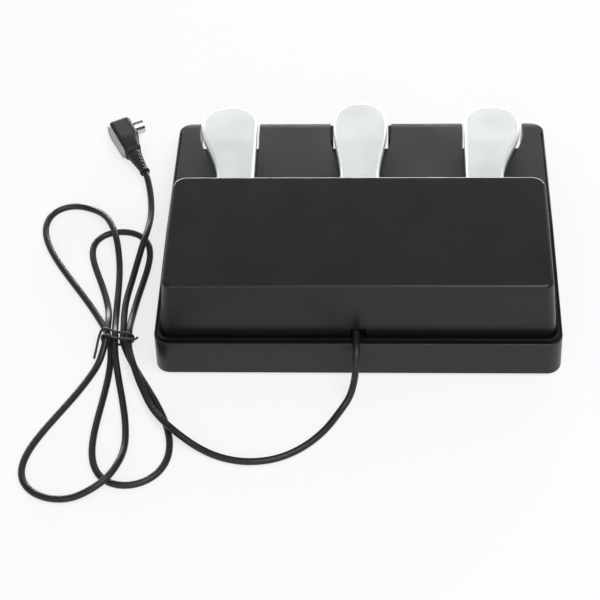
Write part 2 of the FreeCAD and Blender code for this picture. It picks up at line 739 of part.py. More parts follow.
def make_down_buffers():
    """Rubber stops that the levers come down on."""
    drop = (buffer_forward + buffer_radius) * math.sin(math.radians(press_angle))
    tall = pedal_bottom - drop - running_gap - flange_top
    profile = [(0, 0), (buffer_radius, 0), (buffer_radius, 3), (buffer_radius - 1, 4),
               (buffer_radius - 1, tall - 1.5), (buffer_radius - 2.5, tall), (0, tall)]
    return Part.makeCompound([spun(profile, V(x, buffer_y, flange_top)) for x in lever_x.values()])


def make_stop_rail():
    half = board_half
    front = rail_y - rail_width / 2
    rail = side_profile([(front, rail_bottom, 0), (rail_y + rail_width / 2, rail_bottom, 0),
                         (rail_y + rail_width / 2, rail_bottom + sheet, 0),
                         (front + sheet, rail_bottom + sheet, 1), (front + sheet, rail_bottom + rail_lip, 0),
                         (front, rail_bottom + rail_lip, 0)], -half, half)
    for x in lever_x.values():
        for dx in tab_screws():
            rail = rail.cut(Part.makeCylinder(small_screw, 2 * rail_lip, V(x + dx, rail_y, rail_bottom - 1)))
    return rail


def make_rest_felts():
    solids = []
    for x in lever_x.values():
        solids.append(Part.makeBox(lever_width - 2, rail_width - 4, felt_thickness,
                                   V(x - lever_width / 2 + 1, rail_y - rail_width / 2 + 2,
                                     rail_bottom - felt_thickness)))
    return Part.makeCompound(solids)


def make_shutter(x):
    half = gate_depth / 2
    clip = Part.makeBox(lever_width - 4, gate_depth + 1, clip_thickness,
                        V(x - lever_width / 2 + 2, gate_y - half - 0.5, pedal_top))
    flag_top = pedal_top + flag_height
    flag = side_profile([(gate_y - half, pedal_top, 0), (gate_y + half, pedal_top, 0),
                         (gate_y + half, flag_top, 0), (gate_y - half + 2, flag_top, 0),
                         (gate_y - half, flag_top - 3, 0)],
                        x - flag_thickness / 2, x + flag_thickness / 2)
    return clip.fuse(flag)


def make_light_gates():
    solids = []
    for x in lever_x.values():
        low = board_bottom - gate_height
        body = Part.makeBox(2 * cheek_in - 2, gate_depth, gate_height,
                            V(x - cheek_in + 1, gate_y - gate_depth / 2, low))
        slot = Part.makeBox(gate_slot, gate_depth + 2, gate_height - gate_roof,
                            V(x - gate_slot / 2, gate_y - gate_depth / 2 - 1, low))
        solids.append(body.cut(slot))
    return Part.makeCompound(solids)


def make_sensor_board():
    front = gate_y - board_depth / 2 + 3
    board = block(rounded_box_outline(board_half, front, front + board_depth, 2, 2, board_bottom), board_thickness)
    for x in lever_x.values():
        for dx in tab_screws():
            board = board.cut(Part.makeCylinder(small_screw, 8, V(x + dx, gate_y, board_bottom - 1)))
    return board


def make_lead_socket():
    """Connector under the board where the cord's wires plug in."""
    x, y, z = socket_place
    body = Part.makeBox(12, 7, socket_height, V(x - 6, y - 3.5, z))
    hole = Part.makeCylinder(inner_radius + 0.1, 2.5, V(x, y, z))
    return body.cut(hole)


# Cord

def section_area(radius, facets):
    return facets / 2 * radius ** 2 * math.sin(2 * math.pi / facets)


def cord_route_tube(name, points, thick, facets):
    """Tube of straight runs joined by tangent arcs, with the arcs' radii printed."""
    pts = [V(*p) for p in points]
    edges, radii = [], []
    last = pts[0]
    for i in range(1, len(pts) - 1):
        back, ahead = pts[i - 1] - pts[i], pts[i + 1] - pts[i]
        turn = math.pi - back.getAngle(ahead)
        reach = 0.45 * min(back.Length, ahead.Length)
        radii.append(round(reach / math.tan(turn / 2), 1))
        start = pts[i] + back.normalize() * reach
        end = pts[i] + ahead.normalize() * reach
        middle = (back + ahead).normalize()
        radius = reach / math.tan(turn / 2)
        centre = pts[i] + middle * (radius / math.cos(turn / 2))
        edges.append(Part.LineSegment(last, start).toShape())
        edges.append(Part.Arc(start, centre - middle * radius, end).toShape())
        last = end
    edges.append(Part.LineSegment(last, pts[-1]).toShape())
    solid = tube(edges, thick, pts[0], pts[1] - pts[0], facets)
    length = sum(e.Length for e in edges)
    print(name, "length", round(length, 1), "radii", radii, "volume share",
          round(solid.Volume / (length * section_area(thick, facets)), 4))
    return solid, length


# Where the strands lie side by side in the tie, in the order in which the cord passes it
tie_y = 103.6
tie_slots = [187.9, 206.6, 199.1, 204.6, 193.7]
tie_lift = 2.1              # the tie's wire passes under the strands
first_rise = 3.7            # the first strand lies a little above its neighbour
lead_slot_z = floor_z + tie_lift + first_rise
# One loop between each two slots: its lean from +Y in degrees, reach, width, fullness and bow
loops = [
    {"lean": 174.3, "reach": 120.9, "width": 80.6, "fullness": 3.8, "bow": 2.9},
    {"lean": 10.3, "reach": 167.1, "width": 117.6, "fullness": 2.43, "bow": -7.8},
    {"lean": 158.8, "reach": 161.6, "width": 85.9, "fullness": 2.1, "bow": 4.9},
    {"lean": -10.0, "reach": 153.2, "width": 92.1, "fullness": 2.4, "bow": -4.3},
]
# Where a strand rises over another: (loop, half of it), place, rise, and how far it is level and runs out
lifts = [
    {"halves": ((0, 0),), "place": (tie_slots[0], tie_y), "rise": first_rise, "level": 4, "end": 30},
    {"halves": ((0, 1), (1, 0)), "place": (206.9, 96.3), "rise": 5.9, "level": 10, "end": 28},
    {"halves": ((1, 1), (2, 0)), "place": (197.6, 117.8), "rise": 4.3, "level": 9, "end": 26},
    {"halves": ((1, 1),), "place": (189.6, 250.7), "rise": 6.4, "level": 9, "end": 42},
    {"halves": ((2, 0),), "place": (213.1, -14.6), "rise": 6.5, "level": 9, "end": 42},
]
loop_steps = 14


def fade(distance, level, end):
    """1 up to level, falling smoothly to 0 at end."""
    share = min(1.0, max(0.0, (end - distance) / (end - level)))
    return share * share * (3 - 2 * share)


def loop_points(number):
    loop = loops[number]
    lean = math.radians(loop["lean"])
    ahead, across = V(math.sin(lean), math.cos(lean), 0), V(math.cos(lean), -math.sin(lean), 0)
    start, end = tie_slots[number], tie_slots[number + 1]
    points = []
    for k in range(loop_steps + 1):
        t = 2 * math.pi * k / loop_steps
        far = (1 - math.cos(t)) / 2
        out = loop["width"] / 2 * math.sin(t) * abs(math.sin(t / 2)) ** loop["fullness"]
        out += loop["bow"] * math.sin(math.pi * far)
        share = (1 - math.cos(t / 2)) / 2
        point = V(start * (1 - share) + end * share, tie_y, floor_z)
        point += ahead * (loop["reach"] * far) + across * out
        rise = tie_lift * fade(abs(point.y - tie_y), 4, 24)
        for lift in lifts:
            away = math.hypot(point.x - lift["place"][0], point.y - lift["place"][1])
            if (number, int(2 * k > loop_steps)) in lift["halves"]:
                rise += lift["rise"] * fade(away, lift["level"], lift["end"])
        points.append(V(point.x, point.y, floor_z + rise))
    return points


def level_rise(back, ahead):
    """Slope at a point of the hank: level on the floor and over a crossing, so that the cord never dips."""
    slopes = [run.z / math.hypot(run.x, run.y) for run in (back, ahead)]
    return min(slopes, key=abs) if slopes[0] * slopes[1] > 0 else 0.0


def make_cord_hank():
    route = loop_points(0)
    for number in range(1, len(loops)):
        route += loop_points(number)[1:]
    tangents = [V(0, -1, 0)]
    for i in range(1, len(route) - 1):
        back, ahead = route[i] - route[i - 1], route[i + 1] - route[i]
        tangent = back * (ahead.Length / back.Length) + ahead * (back.Length / ahead.Length)
        tangent.z = level_rise(back, ahead) * math.hypot(tangent.x, tangent.y)
        tangents.append(tangent.normalize())
    tangents.append(V(0, -1, 0))
    edges = []
    for i in range(len(route) - 1):
        edges += biarc(route[i], tangents[i], route[i + 1], tangents[i + 1])
    solid = tube(edges, cord_radius, route[0], tangents[0], cord_sides)
    length = sum(e.Length for e in edges)
    report_gap(edges)
    print("cord_hank length", round(length, 1), "volume share",
          round(solid.Volume / (length * section_area(cord_radius, cord_sides)), 4))
    return solid, length


def report_gap(edges):
    """Print the least gap of the hank to itself, measured on points a millimetre or two apart."""
    places, walked = [], 0.0
    for edge in edges:
        steps = max(1, int(edge.Length / 1.5))
        first, last = edge.FirstParameter, edge.LastParameter
        for k in range(steps):
            share = k / steps
            places.append((edge.valueAt(first + (last - first) * share), walked + edge.Length * share))
        walked += edge.Length
    least = 1e9
    where = None
    for i, (p, s) in enumerate(places):
        for q, r in places[i + 1:]:
            if r - s > 30 and abs(p.x - q.x) < 8 and abs(p.y - q.y) < 8:
                gap = p.distanceToPoint(q) - 2 * cord_radius
                if gap < least:
                    least, where = gap, (round(p.x), round(p.y), round(q.x), round(q.y))
    print("hank's least gap to itself", round(least, 2), "at", where)


lead_route = [
    (cord_x, clamp_front, exit_z), (cord_x, hood_rear + 3, exit_z), (0.5, rim_rear + 8.5, exit_z + 0.6),
    (0.9, rim_rear + 20, 30.0), (2.4, rim_rear + 22.5, 16.5), (5.8, rim_rear + 29, 6.4),
    (12.8, 180.3, floor_z), (24.5, 200.3, floor_z), (41.0, 217.3, floor_z), (61.0, 228.6, floor_z),
    (84.0, 232.0, floor_z), (105.5, 227.8, floor_z), (124.0, 218.8, floor_z + 1.2),
    (141.0, 207.8, cross_z), (152.6, 196.2, cross_z), (163.5, 180.3, floor_z + 2.4),
    (171.2, 163.8, floor_z + 2.6), (176.4, 150.8, cross_z - 1.2), (180.4, 139.3, cross_z + 0.8),
    (183.6, 129.3, cross_z + 0.9), (185.9, 120.3, cross_z + 0.7), (tie_slots[0], 111.6, lead_slot_z),
    (tie_slots[0], tie_y, lead_slot_z),
]
plug_route = [
    (tie_slots[-1], tie_y, floor_z + tie_lift), (tie_slots[-1], 91.8, floor_z + tie_lift),
    (195.0, 78.8, floor_z + 0.6), (195.4, 63.8, floor_z),
    (192.6, 41.8, floor_z), (189.6, 18.8, floor_z + 1.4), (186.2, 2.3, cross_z), (184.0, -10.7, cross_z),
    (182.9, -32.2, floor_z + 1.6), (184.8, -55.2, floor_z + 1.2), (189.2, -72.7, 6.2), (194.0, -86.2, 8.6),
]


# Plug, built lying along +Y at the origin with its shell towards +X, then turned into place

plug_mid = plug_height / 2 + 0.3
relief_length = 27.0
plug_length = 41.0
shell_back = 11.0           # shell's axis from the plug's rounded end


def placed_plug(shape):
    """Moves a shape from the plug's own frame, cord end at the origin, to where the plug lies."""
    start, before = V(*plug_route[-1]), V(*plug_route[-2])
    heading = math.degrees(math.atan2(start.y - before.y, start.x - before.x)) - 90
    shape = shape.copy()
    shape.rotate(V(0, 0, 0), V(0, 0, 1), heading)
    shape.translate(V(start.x, start.y, 0))
    return shape


def make_plug_relief():
    """Tapered sleeve with a collar at the cord's end and shallow rings."""
    points = [(cord_radius + running_gap, 0), (4.6, 0), (4.6, 2.6), (3.9, 3.2)]
    rings = 4
    for k in range(rings):
        at = 5.5 + k * 4.2
        size = 4.1 + 0.5 * k
        points += [(size, at), (size, at + 2.2), (size - 0.5, at + 2.7), (size - 0.4, at + 3.6)]
    points += [(6.4, relief_length - 1.5), (6.4, relief_length), (0, relief_length), (0, relief_length - 4),
               (cord_radius + running_gap, relief_length - 4)]
    sleeve = spun(points, V(0, 0, 0), V(0, 1, 0))
    sleeve.translate(V(0, 0, plug_route[-1][2]))
    return placed_plug(sleeve)


def plug_outline(grow, z):
    """Plan of the plug's body: narrow at the sleeve, wide and rounded at the far end."""
    y0, y1 = relief_length, relief_length + plug_length
    return rounded_outline([(-7.5 - grow, y0, 3), (6.5 + grow, y0, 3), (8.5 + grow, y0 + 14, 6),
                            (11.5 + grow, y0 + 20, 2), (11.5 + grow, y1 + grow, 4), (-7.5 - grow, y1 + grow, 4)], z)


def make_plug_body():
    low = 0.3
    body = block(plug_outline(0, low), plug_height)
    # Seen from its end the body is rounded, as a flattened drum
    drum = side_profile([(relief_length - 1, plug_mid - 7.2, 5), (relief_length + 16, low, 12),
                         (relief_length + plug_length + 1, low, 7),
                         (relief_length + plug_length + 1, low + plug_height, 7),
                         (relief_length + 16, low + plug_height, 12), (relief_length - 1, plug_mid + 7.2, 5)],
                        -20, 20)
    body = body.common(drum)
    rounded = [e for e in body.Edges if e.BoundBox.XLength < 0.1 and e.CenterOfMass.x > 8]
    if rounded:
        body = body.makeFillet(1.0, rounded)
    return placed_plug(body)


def make_plug_cap():
    """Flat oval cap on the side away from the shell."""
    y0, y1 = relief_length + 2, relief_length + plug_length - 1
    cap = side_profile([(y0, plug_mid - 5.5, 4.6), (y1, plug_mid - 7.6, 6.6), (y1, plug_mid + 7.6, 6.6),
                        (y0, plug_mid + 5.5, 4.6)], -9.3, -7.5)
    return placed_plug(cap)


def shell_centre():
    return V(11.5, relief_length + plug_length - shell_back, plug_mid)


def make_plug_shell():
    """Drawn metal tube with its keyway pressed in underneath."""
    centre = shell_centre()
    tube_out = Part.makeCylinder(shell_radius, shell_length, centre, V(1, 0, 0))
    tube_in = Part.makeCylinder(shell_radius - shell_wall, shell_length, centre, V(1, 0, 0))
    key = 2.4
    dent_out = Part.makeBox(shell_length, key, 3, centre + V(0, -key / 2, -shell_radius - 1.2))
    dent_in = Part.makeBox(shell_length, key + 2 * shell_wall, 3.2,
                           centre + V(0, -key / 2 - shell_wall, -shell_radius - 1.0))
    shell = tube_out.cut(tube_in).fuse(dent_in.common(tube_out)).cut(dent_out)
    return placed_plug(shell.removeSplitter())


pin_spots = [(3.5 * math.cos(math.radians(a)), 3.5 * math.sin(math.radians(a))) for a in (0, 45, 90, 135, 180)]


def make_plug_insert():
    centre = shell_centre()
    disc = Part.makeCylinder(shell_radius - shell_wall - 0.1, 2.5, centre, V(1, 0, 0))
    key = Part.makeBox(3, 2.4 + 2 * shell_wall + 0.2, 3.4,
                       centre + V(0, -1.2 - shell_wall - 0.1, -shell_radius - 1))
    return placed_plug(disc.cut(key))


def make_plug_pins():
    centre = shell_centre() + V(2.5, 0, 0)
    pins = [Part.makeCylinder(0.72, 6.4, centre + V(0, a, b + 0.4), V(1, 0, 0)) for a, b in pin_spots]
    return placed_plug(Part.makeCompound(pins))


# Twist tie: a wire twice round the strands, its ends twisted off to the two sides

tie_left, tie_right = tie_slots[1] + 3.8, tie_slots[0] - 3.9
tie_low, tie_high = 0.95, floor_z + tie_lift + 3.8
tie_corners = [(tie_left, tie_high + 5.4), (tie_slots[1] - 2.4, tie_high + 6.4), (tie_slots[2] - 1, tie_high + 3.9),
               (tie_right, tie_high + 3.9), (tie_right, tie_low), (tie_left, tie_low)]
tie_pitch = 2.3


def make_twist_tie():
    route = [(214.7, 117.1, 3.6), (213.6, 109.8, 8.0), (212.0, 104.8, 11.0)]
    first = tie_y - 1.6
    for k in range(2 * len(tie_corners) - 2):
        x, z = tie_corners[k % len(tie_corners)]
        route.append((x, first + tie_pitch * k / len(tie_corners), z))
    route += [(182.6, 108.3, 5.0), (181.4, 112.3, 3.0)]
    return cord_route_tube("twist_tie", route, tie_radius, wire_sides)[0]


# Clamp that holds the cord inside the rear wall, and the lead from it to the sensor board

def make_cord_clamp():
    """Saddle with two ears that grips the cord on the ledge inside the notch."""
    height = exit_z + cord_radius + 2.4
    inner, outer = cord_radius + 2.4, cord_radius + clamp_ear
    saddle = rounded_outline([(cord_x - outer, hood_seat, 0), (cord_x + outer, hood_seat, 0),
                              (cord_x + outer, hood_seat + 2.4, 1), (cord_x + inner, hood_seat + 2.4, 1),
                              (cord_x + inner, height, 4), (cord_x - inner, height, 4),
                              (cord_x - inner, hood_seat + 2.4, 1), (cord_x - outer, hood_seat + 2.4, 1)])
    saddle.rotate(V(0, 0, 0), V(1, 0, 0), 90)
    clamp = Part.Face(saddle).extrude(V(0, clamp_rear - clamp_front, 0))
    clamp.translate(V(0, clamp_front, 0))
    bore = Part.makeCylinder(cord_radius + 0.1, 20, V(cord_x, clamp_front - 5, exit_z), V(0, 1, 0))
    clamp = clamp.cut(bore)
    for x, y in clamp_screw_places():
        clamp = clamp.cut(Part.makeCylinder(small_screw, 8, V(x, y, hood_seat - 1)))
    return clamp


def clamp_screw_places():
    return [(cord_x + way * (cord_radius + clamp_ear - 2.8), (clamp_front + clamp_rear) / 2) for way in (-1, 1)]


def make_clamp_screws():
    return Part.makeCompound([small_screw_solid(x, y, hood_seat + 2.4, 5) for x, y in clamp_screw_places()])


socket_x, socket_y, socket_z = socket_place
inner_route = [
    (cord_x, clamp_front, exit_z), (cord_x, clamp_front - 3, exit_z), (cord_x + 1.6, clamp_front - 6, exit_z + 0.2),
    (cord_x + 5, socket_y + 0.3, exit_z + 0.6), (cord_x + 11, socket_y, exit_z + 1.0),
    (socket_x - 7, socket_y, exit_z + 1.8), (socket_x - 2, socket_y, exit_z + 4), (socket_x, socket_y, exit_z + 8),
    (socket_x, socket_y, socket_z + 2),
]


print("rim", rim_front, rim_rear, "hood", hood_front, hood_rear, "well", well_front, well_rear)
save(make_base_case(), "base_case")
save(make_bottom_plate(), "bottom_plate")
save(make_hood(), "hood")
save(make_feet(), "rubber_feet")
save(Part.makeCompound([screw_from_below(x, y, 12) for x, y in case_bosses]), "plate_screws")
save(Part.makeCompound([screw_from_below(x, y, hood_seat + 8 - plate_bottom) for x, y in hood_bosses]),
     "hood_screws")
for name, side in sides.items():
    x = lever_x[name]
    save(make_pedal(side), name + "_pedal")
    save(make_bush(x), name + "_bushes")
    save(make_shutter(x), name + "_shutter")
    save(make_return_spring(x), name + "_spring")
    save(make_bracket(x), name + "_bracket")
save(make_bracket_screws(), "bracket_screws")
save(make_pivot_shafts(), "pivot_shafts")
save(make_shaft_clips(), "shaft_clips")
save(make_spring_cups(), "spring_cups")
save(make_down_buffers(), "down_buffers")
save(make_stop_rail(), "stop_rail")
save(make_rest_felts(), "rest_felts")
save(make_tab_screws(rail_y, rail_bottom + sheet), "rail_screws")
save(make_light_gates(), "light_gates")
save(make_sensor_board(), "sensor_board")
save(make_tab_screws(gate_y, board_bottom + board_thickness), "board_screws")
save(make_lead_socket(), "lead_socket")
save(make_cord_clamp(), "cord_clamp")
save(make_clamp_screws(), "clamp_screws")
save(cord_route_tube("inner_lead", inner_route, inner_radius, wire_sides)[0], "inner_lead")
lead, lead_length = cord_route_tube("cord_lead", lead_route, cord_radius, cord_sides)
save(lead, "cord_lead")
hank, hank_length = make_cord_hank()
save(hank, "cord_hank")
tail, tail_length = cord_route_tube("cord_plug_lead", plug_route, cord_radius, cord_sides)
save(tail, "cord_plug_lead")
print("cord length", round(lead_length + hank_length + tail_length, 1))
save(make_twist_tie(), "twist_tie")
save(make_plug_relief(), "plug_relief")
save(make_plug_body(), "plug_body")
save(make_plug_cap(), "plug_cap")
save(make_plug_shell(), "plug_shell")
save(make_plug_insert(), "plug_insert")
save(make_plug_pins(), "plug_pins")
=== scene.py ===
import math

import bmesh
import bpy
from mathutils import Matrix, Vector


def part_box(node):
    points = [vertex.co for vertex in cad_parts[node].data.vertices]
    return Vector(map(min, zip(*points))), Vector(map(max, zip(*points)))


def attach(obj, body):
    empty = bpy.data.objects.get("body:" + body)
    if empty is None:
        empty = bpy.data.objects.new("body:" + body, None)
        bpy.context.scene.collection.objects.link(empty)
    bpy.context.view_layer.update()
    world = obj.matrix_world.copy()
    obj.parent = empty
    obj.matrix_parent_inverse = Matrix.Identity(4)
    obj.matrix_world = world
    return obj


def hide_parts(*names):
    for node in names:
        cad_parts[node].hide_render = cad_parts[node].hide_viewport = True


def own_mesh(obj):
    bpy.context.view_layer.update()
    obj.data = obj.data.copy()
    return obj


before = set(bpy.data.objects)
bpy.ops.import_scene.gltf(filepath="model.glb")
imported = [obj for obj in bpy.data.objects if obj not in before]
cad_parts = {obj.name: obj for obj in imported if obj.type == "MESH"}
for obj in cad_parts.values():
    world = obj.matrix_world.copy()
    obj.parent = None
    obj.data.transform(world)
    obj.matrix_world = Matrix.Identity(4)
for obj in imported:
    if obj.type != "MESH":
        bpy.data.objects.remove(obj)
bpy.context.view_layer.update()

mm = 0.001
pedalPitch = 107.4
levers = {"soft": -pedalPitch, "sostenuto": 0.0, "damper": pedalPitch}    # middle of each lever in X
print("frame loaded:", len(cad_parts), "nodes")


# Working tools

def metres(*values):
    return tuple(value * mm for value in values)


def span(node):    # a node's lowest and highest corners in millimetres
    return [[value / mm for value in corner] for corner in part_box(node)]


def deselectAll():
    if bpy.context.object and bpy.context.object.mode != "OBJECT":
        objectMode()
    bpy.ops.object.select_all(action="DESELECT")


def activate(piece):
    deselectAll()
    piece.select_set(True)
    bpy.context.view_layer.objects.active = piece


def named(name):
    piece = bpy.context.object
    piece.name = name
    piece.data.name = name
    return piece


def editMode(piece):
    activate(piece)
    bpy.ops.object.mode_set(mode="EDIT")


def objectMode():
    bpy.ops.object.mode_set(mode="OBJECT")


def pick(piece, kind, test):    # in edit mode: selects the faces, edges or points that pass the test
    bpy.ops.mesh.select_mode(type=kind)
    bpy.ops.mesh.select_all(action="DESELECT")
    mesh = bmesh.from_edit_mesh(piece.data)
    mesh.normal_update()
    parts = {"FACE": mesh.faces, "EDGE": mesh.edges, "VERT": mesh.verts}[kind]
    for part in parts:
        if test(part):
            part.select_set(True)
    mesh.select_flush_mode()
    bmesh.update_edit_mesh(piece.data)


def looks(face, axis, way):    # whether a face looks along X, Y or Z, up the axis for 1 and down it for -1
    return face.normal[axis] * way > 0.9


def runs(edge, axis):    # whether an edge runs along X, Y or Z
    way = edge.verts[1].co - edge.verts[0].co
    return abs(way[axis]) > 0.9 * way.length


def sharp(edge, degrees):
    return edge.calc_face_angle(0) > math.radians(degrees)


def middle(edge):
    return (edge.verts[0].co + edge.verts[1].co) / 2


def roundEdges(piece, test, radius, segments=6):    # in edit mode
    pick(piece, "EDGE", test)
    bpy.ops.mesh.bevel(offset=radius * mm, segments=segments)


def roundCorners(piece, axis, split, frontRadius, rearRadius):    # edges before and behind split in Y
    for radius, rear in ((frontRadius, False), (rearRadius, True)):
        roundEdges(piece, lambda edge: runs(edge, axis) and (middle(edge).y > split * mm) == rear,
                   radius, segments=10)


def bisected(place, normal):    # in edit mode: a new line of edges right round the piece
    bpy.ops.mesh.select_all(action="SELECT")
    bpy.ops.mesh.bisect(plane_co=metres(*place), plane_no=normal)


def applied(piece, kind, **settings):
    activate(piece)
    modifier = piece.modifiers.new(kind, kind)
    for name, value in settings.items():
        setattr(modifier, name, value)
    bpy.ops.object.modifier_apply(modifier=modifier.name)


def softened(piece, width, angle=50):    # rounds every edge sharper than the angle
    applied(piece, "BEVEL", width=width * mm, segments=2, limit_method="ANGLE",
            angle_limit=math.radians(angle))


def walled(piece, thickness):    # gives a surface a wall, inwards
    applied(piece, "SOLIDIFY", thickness=thickness * mm, offset=-1, use_even_offset=True)


def cut(piece, tool):
    applied(piece, "BOOLEAN", object=tool, operation="DIFFERENCE", solver="EXACT")
    bpy.data.objects.remove(tool)


def cube(name, low, high):    # a box between two corners, in millimetres
    deselectAll()
    centre = [(a + b) / 2 for a, b in zip(low, high)]
    size = [b - a for a, b in zip(low, high)]
    bpy.ops.mesh.primitive_cube_add(size=1, location=metres(*centre), scale=metres(*size))
    bpy.ops.object.transform_apply(location=True, rotation=True, scale=True)
    return named(name)


def turned(name, profile, sides=48):    # a disc pulled up along Z through (radius, height) pairs
    deselectAll()
    radius, height = profile[0]
    bpy.ops.mesh.primitive_circle_add(vertices=sides, radius=radius * mm, fill_type="NGON",
                                      location=metres(0, 0, height))
    bpy.ops.object.transform_apply(location=True)
    piece = named(name)
    editMode(piece)
    bpy.ops.mesh.select_all(action="SELECT")
    for nextRadius, nextHeight in profile[1:]:
        rise = (0, 0, (nextHeight - height) * mm)
        bpy.ops.mesh.extrude_region_move(TRANSFORM_OT_translate={"value": rise})
        factor = nextRadius / radius
        bpy.ops.transform.resize(value=(factor, factor, 1), center_override=metres(0, 0, nextHeight))
        radius, height = nextRadius, nextHeight
    bpy.ops.mesh.select_all(action="SELECT")
    bpy.ops.mesh.normals_make_consistent(inside=False)
    objectMode()
    return piece


def moved(piece, matrix):    # turns and shifts a piece and leaves its place in its mesh
    activate(piece)
    piece.matrix_world = matrix @ piece.matrix_world
    bpy.ops.object.transform_apply(location=True, rotation=True, scale=True)
    return piece


def at(x, y, z, turnX=0.0):
    return Matrix.Translation(metres(x, y, z)) @ Matrix.Rotation(math.radians(turnX), 4, "X")


def joined(pieces, name):
    deselectAll()
    for piece in pieces:
        piece.select_set(True)
    bpy.context.view_layer.objects.active = pieces[0]
    bpy.ops.object.join()
    return named(name)


def spread(piece, name, matrices):    # moved copies of a piece, joined, in place of the piece
    twins = []
    for matrix in matrices:
        twin = piece.copy()
        twin.data = piece.data.copy()
        twin.name = name
        bpy.context.scene.collection.objects.link(twin)
        twins.append(moved(twin, matrix))
    bpy.data.objects.remove(piece)
    return joined(twins, name)


def smoothed(piece, angle=30):
    activate(piece)
    bpy.ops.object.shade_smooth_by_angle(angle=math.radians(angle))
    applied(piece, "WEIGHTED_NORMAL", keep_sharp=True, weight=80)
    return piece


def merged(node, name):    # a copy of a node's loose triangles, welded
    piece = bpy.data.objects.new(name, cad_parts[node].data.copy())
    bpy.context.scene.collection.objects.link(piece)
    piece.data.name = name
    editMode(piece)
    bpy.ops.mesh.select_all(action="SELECT")
    bpy.ops.mesh.remove_doubles(threshold=0.002 * mm)
    objectMode()
    return piece


def dressed(piece, material, slot, *nodes, body="root"):
    piece.data.materials.clear()
    piece.data.materials.append(materials[material])
    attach(piece, body)
    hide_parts(*nodes)
    return piece


# Shader tools

class Value:    # one output of a shader node, which can be added and multiplied
    def __init__(self, nodes, socket):
        self.nodes = nodes
        self.socket = socket

    def math(self, operation, *others):
        sockets = dict(enumerate((self,) + others))
        return self.nodes.out(self.nodes.node("ShaderNodeMath", {"operation": operation}, sockets))

    def __add__(self, other):
        return self.math("ADD", other)

    def __mul__(self, other):
        return self.math("MULTIPLY", other)

    __radd__ = __add__
    __rmul__ = __mul__


class Nodes:    # the shader nodes of a material or of the world
    def __init__(self, owner, end):
        owner.use_nodes = True
        self.tree = owner.node_tree
        self.tree.nodes.clear()
        self.end = self.node(end)

    def node(self, kind, settings=None, sockets=None):
        made = self.tree.nodes.new(kind)
        for name, value in (settings or {}).items():
            setattr(made, name, value)
        for name, value in (sockets or {}).items():
            if isinstance(value, Value):
                self.tree.links.new(value.socket, made.inputs[name])
            else:
                made.inputs[name].default_value = value
        return made

    def out(self, node, name=0):
        return Value(self, node.outputs[name])

    def mixed(self, share, first, second):    # from one shader to another by share
        sockets = {0: share, 1: self.out(first), 2: self.out(second)}
        return self.out(self.node("ShaderNodeMixShader", None, sockets))

    def show(self, shader):
        self.tree.links.new(shader.socket, self.end.inputs["Surface"])


class Shade(Nodes):    # one material with a Principled shader
    def __init__(self, name, **values):
        self.material = bpy.data.materials.new(name)
        super().__init__(self.material, "ShaderNodeOutputMaterial")
        self.skin = self.node("ShaderNodeBsdfPrincipled")
        self.show(self.out(self.skin))
        self.place = self.out(self.node("ShaderNodeTexCoord"), "Object")
        for socket, value in values.items():
            self.feed(socket, value)

    def feed(self, name, value):
        socket = self.skin.inputs[name.replace("_", " ")]
        if isinstance(value, Value):
            self.tree.links.new(value.socket, socket)
        else:
            socket.default_value = value

    def noise(self, size, detail=2.0, roughness=0.5, stretch=None):    # size of a patch in millimetres
        place = self.place
        if stretch:
            place = self.out(self.node("ShaderNodeMapping", None, {"Vector": place, "Scale": stretch}))
        sockets = {"Vector": place, "Scale": 1 / (size * mm), "Detail": detail, "Roughness": roughness}
        return self.out(self.node("ShaderNodeTexNoise", None, sockets))

    def between(self, value, low, high, start, end):    # maps a value's range onto another
        sockets = {"Value": value, "From Min": low, "From Max": high, "To Min": start, "To Max": end}
        return self.out(self.node("ShaderNodeMapRange", {"interpolation_type": "SMOOTHSTEP"}, sockets))

    def tinted(self, share, colour, factor):    # from a colour to a paler or darker one by share
        sockets = {0: share, 6: (*colour, 1), 7: (*(part * factor for part in colour), 1)}
        return self.out(self.node("ShaderNodeMix", {"data_type": "RGBA"}, sockets), 2)

    def bump(self, height, depth, strength=1.0):    # depth in millimetres
        sockets = {"Height": height, "Distance": depth * mm, "Strength": strength}
        self.feed("Normal", self.out(self.node("ShaderNodeBump", None, sockets)))


# Materials: the patches' size in mm, the second colour as a share of the first, and the range of roughness

plasticLook = {"patch": 38.0, "paler": 1.25, "spread": 0.04}
metalLook = {"darker": 0.94, "smoother": 0.85, "rougher": 1.15, "brushDepth": 0.01, "brushStrength": 0.4}
rubberLook = {"patch": 9.0, "paler": 1.4, "spread": 0.06}


def plastic(name, colour, grain, depth, rough, ior=1.42):    # moulded plastic with a sparked grain
    shade = Shade(name, IOR=ior)
    fine = shade.noise(grain, detail=3.0, roughness=0.6)
    broad = shade.noise(plasticLook["patch"])
    shade.feed("Base Color", shade.tinted(broad, colour, plasticLook["paler"]))
    low, high = rough - plasticLook["spread"], rough + plasticLook["spread"]
    shade.feed("Roughness", shade.between(broad, 0.0, 1.0, low, high))
    shade.bump(fine, depth)
    return shade.material


def metal(name, colour, rough, brushed=None, patch=12.0, metallic=1.0):    # brushed stretches fine lines
    shade = Shade(name, Metallic=metallic)
    broad = shade.noise(patch)
    shade.feed("Base Color", shade.tinted(broad, colour, metalLook["darker"]))
    low, high = rough * metalLook["smoother"], rough * metalLook["rougher"]
    shade.feed("Roughness", shade.between(broad, 0.3, 0.7, low, high))
    if brushed:
        lines = shade.noise(1.0, detail=3.0, roughness=0.7, stretch=brushed)
        shade.bump(lines, metalLook["brushDepth"], metalLook["brushStrength"])
    return shade.material


